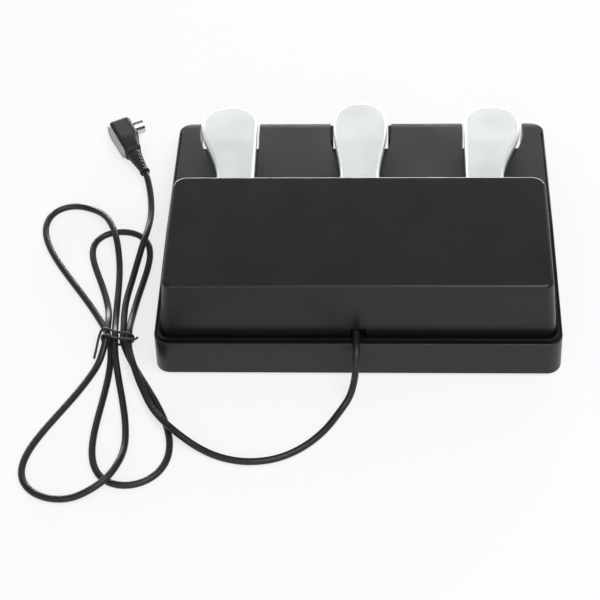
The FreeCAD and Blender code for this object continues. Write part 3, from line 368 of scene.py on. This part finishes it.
def rubber(name, colour, grain, depth, rough):
    shade = Shade(name, IOR=1.45)
    fine = shade.noise(grain, detail=3.0, roughness=0.6)
    shade.feed("Base Color", shade.tinted(shade.noise(rubberLook["patch"]), colour, rubberLook["paler"]))
    low, high = rough - rubberLook["spread"], rough + rubberLook["spread"]
    shade.feed("Roughness", shade.between(fine, 0.2, 0.8, low, high))
    shade.bump(fine, depth)
    return shade.material


materials = {
    "case": plastic("satinBlackCase", (0.0046, 0.0050, 0.0056), grain=0.6, depth=0.005, rough=0.30),
    "innerPlastic": plastic("plainBlackPlastic", (0.012, 0.012, 0.013), grain=0.8, depth=0.01, rough=0.45),
    "chrome": metal("pedalChrome", (0.94, 0.97, 0.965), rough=0.34, patch=30.0, metallic=0.6),
    "cord": rubber("cordSheath", (0.0075, 0.0078, 0.008), grain=0.7, depth=0.015, rough=0.42),
    "plugRubber": rubber("plugRubber", (0.0085, 0.009, 0.0093), grain=0.4, depth=0.012, rough=0.58),
    "cap": plastic("greyCapPlastic", (0.30, 0.31, 0.30), grain=0.6, depth=0.01, rough=0.4),
    "plugShell": metal("plugShellMetal", (0.60, 0.60, 0.61), rough=0.2),
    "pins": metal("pinMetal", (0.80, 0.74, 0.58), rough=0.25),
    "tie": rubber("tieSheath", (0.010, 0.010, 0.011), grain=0.5, depth=0.01, rough=0.35),
    "feet": rubber("footRubber", (0.016, 0.016, 0.017), grain=0.35, depth=0.03, rough=0.7),
    "plate": metal("galvanisedPlate", (0.42, 0.43, 0.44), rough=0.42, brushed=(1.0, 14.0, 1.0), patch=18.0),
    "bracket": metal("bracketSteel", (0.44, 0.45, 0.46), rough=0.35, brushed=(1.0, 12.0, 1.0)),
    "screw": metal("screwSteel", (0.36, 0.36, 0.37), rough=0.32),
    "shaft": metal("shaftSteel", (0.60, 0.60, 0.60), rough=0.18),
    "spring": metal("springSteel", (0.40, 0.40, 0.42), rough=0.3),
    "nylon": plastic("bushNylon", (0.70, 0.68, 0.60), grain=0.8, depth=0.005, rough=0.4, ior=1.5),
    "laminate": plastic("boardLaminate", (0.02, 0.09, 0.04), grain=0.5, depth=0.01, rough=0.35, ior=1.5),
    "felt": rubber("redFelt", (0.19, 0.02, 0.02), grain=0.3, depth=0.2, rough=0.95),
    "socket": plastic("socketPlastic", (0.65, 0.64, 0.58), grain=0.6, depth=0.005, rough=0.4, ior=1.5),
}
print("materials made:", len(materials))


# Camera at the photograph's place: behind the unit, looking down over the hood to the pedals

camera = {"place": (-21.11, 1029.35, 1078.99), "yaw": 4.1532, "pitch": 47.9993, "roll": 2.9918,
          "lens": 103.76, "near": 0.05, "far": 20}


def makeCamera():
    yaw, pitch, roll = (math.radians(camera[name]) for name in ("yaw", "pitch", "roll"))
    ahead = Vector((math.sin(yaw) * math.cos(pitch), -math.cos(yaw) * math.cos(pitch), -math.sin(pitch)))
    level = ahead.cross(Vector((0, 0, 1))).normalized()
    down = ahead.cross(level)
    right = math.cos(roll) * level + math.sin(roll) * down
    down = -math.sin(roll) * level + math.cos(roll) * down
    lens = bpy.data.cameras.new("photoCamera")
    lens.lens = camera["lens"]
    lens.clip_start = camera["near"]
    lens.clip_end = camera["far"]
    eye = bpy.data.objects.new("photoCamera", lens)
    turn = Matrix((right, -down, -ahead)).transposed()
    eye.matrix_world = Matrix.Translation(metres(*camera["place"])) @ turn.to_4x4()
    bpy.context.scene.collection.objects.link(eye)
    bpy.context.scene.camera = eye


makeCamera()
print("camera placed")


# Studio: white floor, pale surroundings, and lamps in front, above, low in front and behind, in metres

studio = {
    "worldColour": (0.97, 0.985, 1.0, 1), "worldPower": 0.38, "white": (1, 1, 1, 1), "aim": (0, 0, 0.05),
    "floorSize": 14.0, "floorColour": (0.86, 0.86, 0.86, 1), "floorRough": 0.9, "floorGlow": 0.72,
    "lamps": {
        "frontLamp": {"place": (0.0, -2.0, 0.94), "size": (3.2, 0.9), "power": 3},
        "topLamp": {"place": (-0.7, 0.7, 2.2), "size": (1.4, 1.4), "power": 36},
        "edgeLamp": {"place": (0.0, -2.4, 0.2), "size": (3.6, 0.24), "power": 120},
        "rearLamp": {"place": (0.3, 2.2, 1.0), "size": (2.4, 0.9), "power": 14},
    },
}


def makeWorld():
    world = bpy.data.worlds.new("studio")
    bpy.context.scene.world = world
    sky = Nodes(world, "ShaderNodeOutputWorld")
    light = {"Color": studio["worldColour"], "Strength": studio["worldPower"]}
    pale = sky.node("ShaderNodeBackground", None, light)
    white = sky.node("ShaderNodeBackground", None, {"Color": studio["white"]})
    seen = sky.out(sky.node("ShaderNodeLightPath"), "Is Camera Ray")
    sky.show(sky.mixed(seen, pale, white))


def makeLamp(name, place, size, power):
    light = bpy.data.lights.new(name, "AREA")
    light.shape = "RECTANGLE"
    light.size, light.size_y = size
    light.energy = power
    lamp = bpy.data.objects.new(name, light)
    lamp.location = place
    lamp.rotation_euler = (Vector(studio["aim"]) - Vector(place)).to_track_quat("-Z", "Y").to_euler()
    bpy.context.scene.collection.objects.link(lamp)


def makeFloor():    # white to the eye and in reflections, with the object's shadow
    deselectAll()
    bpy.ops.mesh.primitive_plane_add(size=studio["floorSize"], location=(0, 0, 0))
    floor = named("floor")
    shade = Shade("whiteFloor", Base_Color=studio["floorColour"], Roughness=studio["floorRough"],
                  Specular_IOR_Level=0.0)
    rays = shade.node("ShaderNodeLightPath")
    seen = (shade.out(rays, "Is Camera Ray") + shade.out(rays, "Is Glossy Ray")).math("MINIMUM", 1.0)
    glow = shade.node("ShaderNodeEmission", None, {"Color": studio["white"], "Strength": 1.0})
    shade.show(shade.mixed(seen * studio["floorGlow"], shade.skin, glow))
    floor.data.materials.append(shade.material)


makeWorld()
for name, values in studio["lamps"].items():
    makeLamp(name, **values)
makeFloor()
bpy.context.scene.view_settings.view_transform = "Standard"
print("studio set")


# Cord: out of the clamp in the hood, down to the floor, four loose loops through a twist tie, and the plug

cord = {"radius": 2.8, "length": 1.93, "exitX": 1.0, "exitZ": 40.0, "clampFront": 118.5, "hoodRear": 131.5,
        "rimRear": 140.8, "floorZ": 2.95, "crossZ": 8.9, "tieY": 109.6, "loopSteps": 24,
        "tieSlots": [187.9, 206.0, 198.9, 204.2, 193.5], "tieLift": 2.1, "liftLevel": 4, "liftEnd": 24}
floorZ, crossZ, tieY, tieSlots = cord["floorZ"], cord["crossZ"], cord["tieY"], cord["tieSlots"]
waistZ = floorZ + cord["tieLift"]
leadRoute = [
    (cord["exitX"], cord["clampFront"], cord["exitZ"]),
    (cord["exitX"], cord["hoodRear"] + 3, cord["exitZ"]),
    (0.5, cord["rimRear"] + 8.5, cord["exitZ"] + 0.6), (0.9, cord["rimRear"] + 20, 30.0),
    (2.4, cord["rimRear"] + 22.5, 16.5), (5.8, cord["rimRear"] + 29, 6.4),
    (12.8, 180.3, floorZ), (24.5, 200.3, floorZ), (41.0, 217.3, floorZ), (61.0, 228.6, floorZ),
    (84.0, 232.0, floorZ), (105.5, 227.8, floorZ), (124.0, 218.8, floorZ + 1.2),
    (141.0, 207.8, crossZ + 0.3), (152.6, 196.2, crossZ + 0.4), (163.5, 180.3, floorZ + 3.2),
    (171.2, 163.8, floorZ + 3.4), (176.2, 152.8, crossZ - 0.8), (180.2, 142.3, crossZ + 1.2),
    (183.4, 133.3, crossZ + 1.6), (185.8, 125.3, crossZ + 1.5), (187.2, 117.6, crossZ + 1.0),
    (tieSlots[0], tieY, crossZ + 0.3),
]
plugRoute = [
    (tieSlots[-1], tieY, waistZ), (193.9, 95.8, waistZ), (195.3, 80.8, floorZ + 0.6), (195.4, 63.8, floorZ),
    (192.6, 41.8, floorZ), (189.6, 18.8, floorZ + 1.4), (186.2, 2.3, crossZ), (184.0, -10.7, crossZ),
    (182.9, -32.2, floorZ + 1.6), (184.8, -55.2, floorZ + 1.2), (188.6, -73.2, 6.4), (191.2, -81.5, 8.4),
    (192.6, -85.1, 8.6),
]
# One loop between each two slots of the tie: its lean from +Y in degrees, how far it reaches and how wide
# it is, a fullness that is higher for a thinner waist, and a bow to one side
loops = [
    {"lean": 174.4, "reach": 126.9, "width": 80.6, "fullness": 3.8, "bow": 2.9},
    {"lean": 10.8, "reach": 161.3, "width": 117.6, "fullness": 2.43, "bow": -7.8},
    {"lean": 159.5, "reach": 167.3, "width": 85.9, "fullness": 2.1, "bow": 4.9},
    {"lean": -10.3, "reach": 147.3, "width": 92.1, "fullness": 2.4, "bow": -4.3},
]
# Where a half of a loop, as (loop, 0 for its way out or 1 for its way back), rises over another strand
lifts = [
    {"halves": ((0, 0),), "place": (187.4, tieY), "rise": 4.4, "level": 6, "end": 36},
    {"halves": ((0, 1), (1, 0)), "place": (206.5, 102.3), "rise": 6.2, "level": 10, "end": 28},
    {"halves": ((1, 1), (2, 0)), "place": (197.6, 121.6), "rise": 4.7, "level": 13, "end": 30},
    {"halves": ((1, 1),), "place": (189.6, 250.7), "rise": 6.8, "level": 9, "end": 42},
    {"halves": ((2, 0),), "place": (213.1, -14.6), "rise": 6.9, "level": 9, "end": 42},
]


def fade(distance, level, end):    # 1 up to level, then smoothly down to 0 at end
    share = min(1.0, max(0.0, (end - distance) / (end - level)))
    return share * share * (3 - 2 * share)


def liftAt(x, y, half):    # how far a half of a loop rises over other strands at a place
    return sum(lift["rise"] * fade(math.dist((x, y), lift["place"]), lift["level"], lift["end"])
               for lift in lifts if half in lift["halves"])


def loopPoints(number):
    loop = loops[number]
    lean = math.radians(loop["lean"])
    ahead = Vector((math.sin(lean), math.cos(lean), 0))
    across = Vector((math.cos(lean), -math.sin(lean), 0))
    start, end = tieSlots[number], tieSlots[number + 1]
    steps = cord["loopSteps"]
    points = []
    for k in range(1, steps):
        t = 2 * math.pi * k / steps
        far = (1 - math.cos(t)) / 2
        out = loop["width"] / 2 * math.sin(t) * abs(math.sin(t / 2)) ** loop["fullness"]
        out += loop["bow"] * math.sin(math.pi * far)
        share = (1 - math.cos(t / 2)) / 2
        point = Vector((start * (1 - share) + end * share, tieY, floorZ))
        point += ahead * (loop["reach"] * far) + across * out
        rise = cord["tieLift"] * fade(abs(point.y - tieY), cord["liftLevel"], cord["liftEnd"])
        rise += liftAt(point.x, point.y, (number, int(2 * k > steps)))
        points.append((point.x, point.y, floorZ + rise))
    return points


def cordCurve(name, points, radius):
    curve = bpy.data.curves.new(name, "CURVE")
    curve.dimensions = "3D"
    curve.bevel_depth = radius * mm
    curve.bevel_resolution = 5
    curve.resolution_u = 10
    curve.use_fill_caps = True
    spline = curve.splines.new("NURBS")
    spline.points.add(len(points) - 1)
    for point, place in zip(spline.points, points):
        point.co = (*metres(*place), 1)
    spline.order_u = 3
    spline.use_endpoint_u = True
    piece = bpy.data.objects.new(name, curve)
    bpy.context.scene.collection.objects.link(piece)
    return piece


def makeCord():
    points = list(leadRoute)
    for number in range(len(loops)):
        points += loopPoints(number)
        if number < len(loops) - 1:
            slot = tieSlots[number + 1]
            points.append((slot, tieY, waistZ + liftAt(slot, tieY, (number, 1))))
    piece = cordCurve("cord", points + plugRoute, cord["radius"])
    return dressed(piece, "cord", "cord_sheath", "cord_lead", "cord_hank", "cord_plug_lead")


cordPiece = makeCord()
print("cord laid")


# Housing: the hood and the base case

# How far each wall leans in at the top, and the openings in the front and the rear
hood = {"sideLean": 5.6, "frontLean": 5.2, "rearLean": 4.5, "frontCorner": 11.0, "rearCorner": 7.8,
        "topRound": 2.6, "wall": 3.0, "edge": 0.3, "openFrom": 20,
        "mouthHalf": 18.4, "mouthTop": 45.0, "mouthCorner": 4.0, "mouthReach": (-4, 12),
        "notchHalf": 6.2, "notchTop": 44.0, "notchCorner": 1.5, "notchReach": (-10, 4), "notchX": -1.1}


def arch(kind, x, y):    # block with two rounded upper edges, to cut a mouth or the notch
    half, top = hood[kind + "Half"], hood[kind + "Top"]
    front, rear = (y + reach for reach in hood[kind + "Reach"])
    piece = cube(kind, (x - half, front, hood["openFrom"]), (x + half, rear, top))
    editMode(piece)
    roundEdges(piece, lambda edge: runs(edge, 1) and middle(edge).z > (top - 1) * mm, hood[kind + "Corner"])
    objectMode()
    return piece


def makeHood():
    low, high = span("hood")
    centre = [(a + b) / 2 for a, b in zip(low, high)]
    depth = high[1] - low[1]
    piece = cube("hoodShell", low, high)
    editMode(piece)
    pick(piece, "FACE", lambda face: looks(face, 2, 1))
    factors = (1 - hood["sideLean"] / high[0], 1 - (hood["frontLean"] + hood["rearLean"]) / depth, 1)
    bpy.ops.transform.resize(value=factors, center_override=metres(*centre))
    bpy.ops.transform.translate(value=metres(0, (hood["frontLean"] - hood["rearLean"]) / 2, 0))
    roundCorners(piece, 2, centre[1], hood["frontCorner"], hood["rearCorner"])
    rim = (high[2] - 0.1) * mm
    roundEdges(piece, lambda edge: min(vert.co.z for vert in edge.verts) > rim, hood["topRound"])
    pick(piece, "FACE", lambda face: looks(face, 2, -1))
    bpy.ops.mesh.delete(type="FACE")
    objectMode()
    walled(piece, hood["wall"])
    for x in levers.values():
        cut(piece, arch("mouth", x, low[1]))
    cut(piece, arch("notch", hood["notchX"], high[1]))
    softened(piece, hood["edge"])
    dressed(smoothed(piece), "case", "case_plastic", "hood")


# Width of the edge rounds, degrees between faces that count as one, and ribs on the mouths' walls beside
# the pedals, each from its lowest to its highest corner;
# the ribs are dark plastic put into the gaps beside the pedals, where there is only shade, as painted shade
baseCase = {"edge": 0.35, "flat": 0.6, "ribs": [((24.65, -130.0, 12.0), (27.6, -112.0, 23.6)),
                                                ((90.2, -130.0, 3.6), (91.1, -112.0, 24.2))]}


def makeBaseCase():
    piece = merged("base_case", "baseCase")
    applied(piece, "DECIMATE", decimate_type="DISSOLVE", angle_limit=math.radians(baseCase["flat"]))
    softened(piece, baseCase["edge"])
    # painted shade: dark ribs that fill the gaps beside the pedals in place of the shade there
    for low, high in baseCase["ribs"]:
        mirrored = ((-high[0], low[1], low[2]), (-low[0], high[1], high[2]))
        piece = joined([piece, cube("rib", low, high), cube("rib", *mirrored)], "baseCase")
    dressed(smoothed(piece), "case", "case_plastic", "base_case")


makeHood()
makeBaseCase()
print("housing modelled")


# Pedals: the levers' own welded shape with a satin skin

pedal = {"smooth": 35}
for name in levers:
    lever = smoothed(merged(name + "_pedal", name + "Pedal"), pedal["smooth"])
    dressed(lever, "chrome", "pedal_chrome", name + "_pedal", body=name + "_lever")
print("pedals finished")


# Return springs of round wire, wound as fixed coils from low to high

# The coil from low to high, and the share of its height over the seat that a pressed pedal leaves it
spring = {"coil": 6.75, "wire": 0.65, "turns": 4.5, "turnSteps": 12, "y": 39.8, "low": 9.3, "high": 32.8,
          "seat": 8.3, "keep": 0.865}


def makeSpring(name, x):
    coil, y = spring["coil"], spring["y"]
    steps = int(spring["turns"] * spring["turnSteps"])
    points = []
    for k in range(steps + 1):
        angle = 2 * math.pi * k / spring["turnSteps"]
        height = spring["low"] + (spring["high"] - spring["low"]) * k / steps
        points.append((x + coil * math.cos(angle), y + coil * math.sin(angle), height))
    piece = cordCurve(name + "Coil", points, spring["wire"])
    activate(piece)
    bpy.ops.object.convert(target="MESH")
    dressed(piece, "spring", "spring_steel", name + "_spring")
    metres(x, y, spring["seat"])
    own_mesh(piece)


for name, x in levers.items():
    makeSpring(name, x)
print("springs wound")


# Fasteners: two sizes of pan head with a cross recess, and each node's head, length and which way it looks

screws = {
    "large": {"radius": 3.3, "high": 1.7, "shank": 1.7},
    "small": {"radius": 2.6, "high": 1.3, "shank": 1.2},
    "dome": [(1.0, 0.45), (0.86, 0.85), (0.6, 1.0)], "neck": 0.02, "sides": 28,
    "crossWide": 0.9, "crossLong": 3.4, "crossDeep": 0.9,
    "nodes": [("plate_screws", "large", 12, "down"), ("hood_screws", "large", 36.8, "down"),
              ("bracket_screws", "large", 2, "up"), ("rail_screws", "small", 4, "up"),
              ("board_screws", "small", 3.6, "up"), ("clamp_screws", "small", 5, "up")],
}


def makeScrew(radius, high, shank, length):    # its head stands on the origin, looking up
    dome = [(radius * wide, high * tall) for wide, tall in screws["dome"]]
    profile = [(shank, -length), (shank, -screws["neck"]), (radius, 0)] + dome
    piece = turned("screw", profile, screws["sides"])
    share = radius / screws["large"]["radius"]
    wide, long, deep = screws["crossWide"] * share, screws["crossLong"] * share, screws["crossDeep"]
    for across, along in ((wide, long), (long, wide)):
        bar = cube("recess", (-across / 2, -along / 2, high - deep), (across / 2, along / 2, high + 1))
        cut(piece, bar)
    return smoothed(piece)


def nodePlaces(node):    # the middle of each loose part of a node, in X and Y
    source = merged(node, "islands")
    mesh = bmesh.new()
    mesh.from_mesh(source.data)
    left, places = set(mesh.verts), []
    while left:
        group, rest = set(), [left.pop()]
        while rest:
            vert = rest.pop()
            group.add(vert)
            near = {edge.other_vert(vert) for edge in vert.link_edges} & left
            left -= near
            rest += near
        across = [[vert.co[axis] for vert in group] for axis in (0, 1)]
        places.append([(min(values) + max(values)) / 2 / mm for values in across])
    mesh.free()
    bpy.data.objects.remove(source)
    return sorted(places)


def makeScrews():
    under = span("plate_screws")[0][2]
    for node, kind, length, way in screws["nodes"]:
        head = screws[kind]
        z, turn = span(node)[1][2] - head["high"], 0
        if way == "down":
            z, turn = under + head["high"], 180
        places = [at(x, y, z, turn) for x, y in nodePlaces(node)]
        piece = spread(makeScrew(**head, length=length), node.replace("_s", "S"), places)
        dressed(piece, "screw", "screw_steel", node)


# Feet with a rounded rim and a hollow under each, as (radius, height) from the top and then from the floor

feet = {"upper": [(3.4, 0.0), (8.6, 0.0), (9.0, -0.4)],
        "lower": [(9.0, 1.2), (8.8, 0.55), (8.3, 0.12), (7.8, 0.0), (5.0, 0.0), (4.6, 0.4), (3.0, 0.5)]}


def makeFeet():
    top = span("rubber_feet")[1][2]
    profile = [(radius, top + height) for radius, height in feet["upper"]] + feet["lower"]
    foot = smoothed(turned("rubberFoot", profile))
    piece = spread(foot, "rubberFeet", [at(x, y, 0) for x, y in nodePlaces("rubber_feet")])
    dressed(piece, "feet", "foot_rubber", "rubber_feet")


makeScrews()
makeFeet()
print("fasteners and feet made")


# Plug, modelled lying along +Y with the cord's end at the origin and the shell towards +X

plug = {"turn": -152.5, "place": (192.6, -85.1), "cordZ": 8.6, "mid": 8.8, "front": 12.6, "shellY": 59.0,
        "sides": 40}
plugPlace = (Matrix.Translation(metres(*plug["place"], 0))
             @ Matrix.Rotation(math.radians(plug["turn"]), 4, "Z"))
lieAlongY = at(0, 0, plug["cordZ"], -90)
shellPlace = plugPlace @ (Matrix.Translation(metres(plug["front"], plug["shellY"], plug["mid"]))
                          @ Matrix.Rotation(math.radians(90), 4, "Y"))

# Strain relief as (radius, height): a cuff at the cord, ribs that grow by a step, and the root at the body
relief = {"cuff": [(2.65, 0.0), (4.2, 0.0), (4.6, 0.4), (4.6, 2.3), (4.3, 2.7), (3.7, 3.1)],
          "ribs": 4, "firstRib": 5.3, "ribPitch": 4.2, "ribRadius": 4.1, "ribGrowth": 0.5,
          "rib": [(-0.55, 0.0), (-0.1, 0.25), (0.0, 0.6), (0.0, 1.9), (-0.1, 2.3), (-0.55, 2.6)],
          "root": [(5.7, 22.2), (6.1, 22.8), (6.4, 24.0), (6.4, 27.0), (3.0, 27.0)], "smooth": 40}


def makePlugRelief():
    profile = list(relief["cuff"])
    for k in range(relief["ribs"]):
        start = relief["firstRib"] + k * relief["ribPitch"]
        size = relief["ribRadius"] + relief["ribGrowth"] * k
        profile += [(size + out, start + along) for out, along in relief["rib"]]
    profile += relief["root"]
    piece = smoothed(turned("plugRelief", profile, plug["sides"]), relief["smooth"])
    moved(piece, plugPlace @ lieAlongY)
    dressed(piece, "plugRubber", "plug_rubber", "plug_relief")


plugBody = {"back": -7.5, "low": 0.3, "high": 17.3, "neck": 27.0, "end": 70.0, "round": 3.6,
            "bends": (41.0, 47.0), "shoulderIn": 3.0, "neckIn": 5.0, "neckHeight": 0.84,
            "grooves": (8.0, 9.4, 10.8), "grooveHalf": 0.22, "grooveSize": (1, 0.978, 0.955)}


def makePlugBody():    # narrower towards the cord, with fine grooves beside the shell
    neck, mid, half = plugBody["neck"], plug["mid"], plugBody["grooveHalf"]
    piece = cube("plugBody", (plugBody["back"], neck, plugBody["low"]),
                 (plug["front"], plugBody["end"], plugBody["high"]))
    editMode(piece)
    for y in plugBody["bends"]:
        bisected((0, y, 0), (0, 1, 0))
    for y, shift in ((plugBody["bends"][0], plugBody["shoulderIn"]), (neck, plugBody["neckIn"])):
        pick(piece, "VERT", lambda vert: vert.co.x > 0 and abs(vert.co.y - y * mm) < mm)
        bpy.ops.transform.translate(value=metres(-shift, 0, 0))
    pick(piece, "VERT", lambda vert: vert.co.y < (neck + 1) * mm)
    bpy.ops.transform.resize(value=(1, 1, plugBody["neckHeight"]), center_override=metres(0, neck, mid))
    roundEdges(piece, lambda edge: sharp(edge, 50), plugBody["round"])
    for x in plugBody["grooves"]:
        for side in (-half, 0.0, half):
            bisected((x + side, 0, 0), (1, 0, 0))
        pick(piece, "VERT", lambda vert: abs(vert.co.x - x * mm) < 0.05 * mm)
        centre = metres(x, plug["shellY"], mid)
        bpy.ops.transform.resize(value=plugBody["grooveSize"], center_override=centre)
    objectMode()
    moved(smoothed(piece), plugPlace)
    dressed(piece, "plugRubber", "plug_rubber", "plug_body")


plugCap = {"low": (-9.3, 29.0, 1.2), "high": (-7.45, 69.0, 16.4), "cordHeight": 0.73, "cordCorner": 4.9,
           "farCorner": 6.9, "insets": ((0.5, 0.0), (0.5, 0.0), (0.25, -0.3)), "edge": 0.25}


def makePlugCap():    # oval cap, lower towards the cord, with a rim round a sunk field
    back, near = plugCap["low"][:2]
    split = (near + plugCap["high"][1]) / 2
    piece = cube("plugCap", plugCap["low"], plugCap["high"])
    editMode(piece)
    pick(piece, "VERT", lambda vert: vert.co.y < (near + 1) * mm)
    centre = metres(0, near, plug["mid"])
    bpy.ops.transform.resize(value=(1, 1, plugCap["cordHeight"]), center_override=centre)
    roundCorners(piece, 0, split, plugCap["cordCorner"], plugCap["farCorner"])
    pick(piece, "FACE", lambda face: looks(face, 0, -1))
    for width, depth in plugCap["insets"]:
        bpy.ops.mesh.inset(thickness=width * mm, depth=depth * mm)
    rim = (back + 0.1) * mm
    roundEdges(piece, lambda edge: sharp(edge, 60) and middle(edge).x < rim, plugCap["edge"], 2)
    objectMode()
    moved(smoothed(piece), plugPlace)
    dressed(piece, "cap", "plug_cap_plastic", "plug_cap")


plugShell = {"radius": 6.6, "length": 9.0, "wall": 0.5, "keyHalf": 1.2, "keyDeep": 1.2, "sides": 72,
             "edge": 0.12, "smooth": 35}


def makePlugShell():    # drawn tube whose keyway is pressed in underneath
    radius, length = plugShell["radius"], plugShell["length"]
    deselectAll()
    bpy.ops.mesh.primitive_cylinder_add(vertices=plugShell["sides"], radius=radius * mm, depth=length * mm,
                                        end_fill_type="NOTHING", location=metres(0, 0, length / 2))
    bpy.ops.object.transform_apply(location=True)
    piece = named("plugShell")
    editMode(piece)
    pick(piece, "VERT", lambda vert: abs(vert.co.y) < plugShell["keyHalf"] * mm and vert.co.x > 0)
    bpy.ops.transform.translate(value=metres(-plugShell["keyDeep"], 0, 0))
    objectMode()
    walled(piece, plugShell["wall"])
    softened(piece, plugShell["edge"], 60)
    moved(smoothed(piece, plugShell["smooth"]), shellPlace)
    dressed(piece, "plugShell", "plug_chrome", "plug_shell")


plugInsert = {"profile": [(5.95, 0.0), (5.95, 2.2), (5.7, 2.5), (1.2, 2.5), (1.0, 2.2)],
              "key": ((4.6, -1.9, -1), (8.0, 1.9, 4))}


def makePlugInsert():
    piece = turned("plugInsert", plugInsert["profile"], plug["sides"])
    cut(piece, cube("key", *plugInsert["key"]))
    moved(smoothed(piece), shellPlace)
    dressed(piece, "innerPlastic", "gate_plastic", "plug_insert")


plugPins = {"profile": [(0.72, 2.5), (0.72, 8.4), (0.5, 8.8), (0.22, 8.9)], "sides": 16, "smooth": 40,
            "circle": 3.5, "shift": -0.4, "turns": (0, 45, 90, 135, 180)}


def makePlugPins():    # on a half circle round the insert's middle
    pin = smoothed(turned("pin", plugPins["profile"], plugPins["sides"]), plugPins["smooth"])
    places = []
    for turn in plugPins["turns"]:
        out, along = math.sin(math.radians(turn)), math.cos(math.radians(turn))
        places.append(at(plugPins["shift"] - plugPins["circle"] * out, plugPins["circle"] * along, 0))
    piece = moved(spread(pin, "plugPins", places), shellPlace)
    dressed(piece, "pins", "pin_metal", "plug_pins")


makePlugRelief()
makePlugBody()
makePlugCap()
makePlugShell()
makePlugInsert()
makePlugPins()
print("plug modelled")


# Twist tie: a wire twice round the strands, its ends twisted off to the two sides

tie = {"radius": 1.05, "pitch": 6.6, "first": -3.6, "low": 1.1, "high": waistZ + 8.4,
       "left": tieSlots[1] + 3.8, "right": tieSlots[0] - 3.9}
tieStart = [(215.4, 127.5, 2.6), (213.8, 120.0, 6.5), (212.4, 112.0, 11.0)]
tieTurn = [    # once round the strands, in X and Z
    (tie["left"], tie["high"] + 2.0), (tieSlots[1] - 2.4, tie["high"] + 2.6),
    (tieSlots[2] - 1, tie["high"]), (tie["right"], tie["high"]),
    (tie["right"], tie["low"]), (tie["left"], tie["low"]),
]
tieEnd = [(182.8, 112.0, 8.6), (180.9, 109.2, 8.0)]


def makeTie():
    route = list(tieStart)
    for k in range(2 * len(tieTurn) - 2):    # two turns, less the corners where the ends leave
        x, z = tieTurn[k % len(tieTurn)]
        route.append((x, tieY + tie["first"] + tie["pitch"] * k / len(tieTurn), z))
    piece = cordCurve("twistTie", route + tieEnd, tie["radius"])
    dressed(piece, "tie", "tie_sheath", "twist_tie")


makeTie()
print("tie wound")


# CAD nodes that keep their shape

nodeMaterials = {
    "bottom_plate": "plate", "down_buffers": "feet", "pivot_shafts": "shaft", "shaft_clips": "spring",
    "stop_rail": "bracket", "rest_felts": "felt", "spring_cups": "nylon", "light_gates": "innerPlastic",
    "cord_clamp": "innerPlastic", "sensor_board": "laminate", "lead_socket": "socket", "inner_lead": "cord",
}
for name in levers:
    nodeMaterials[name + "_bushes"] = "nylon"
    nodeMaterials[name + "_shutter"] = "innerPlastic"
    nodeMaterials[name + "_bracket"] = "bracket"
for node, material in nodeMaterials.items():
    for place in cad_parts[node].material_slots:
        place.material = materials[material]
print("nodes painted")
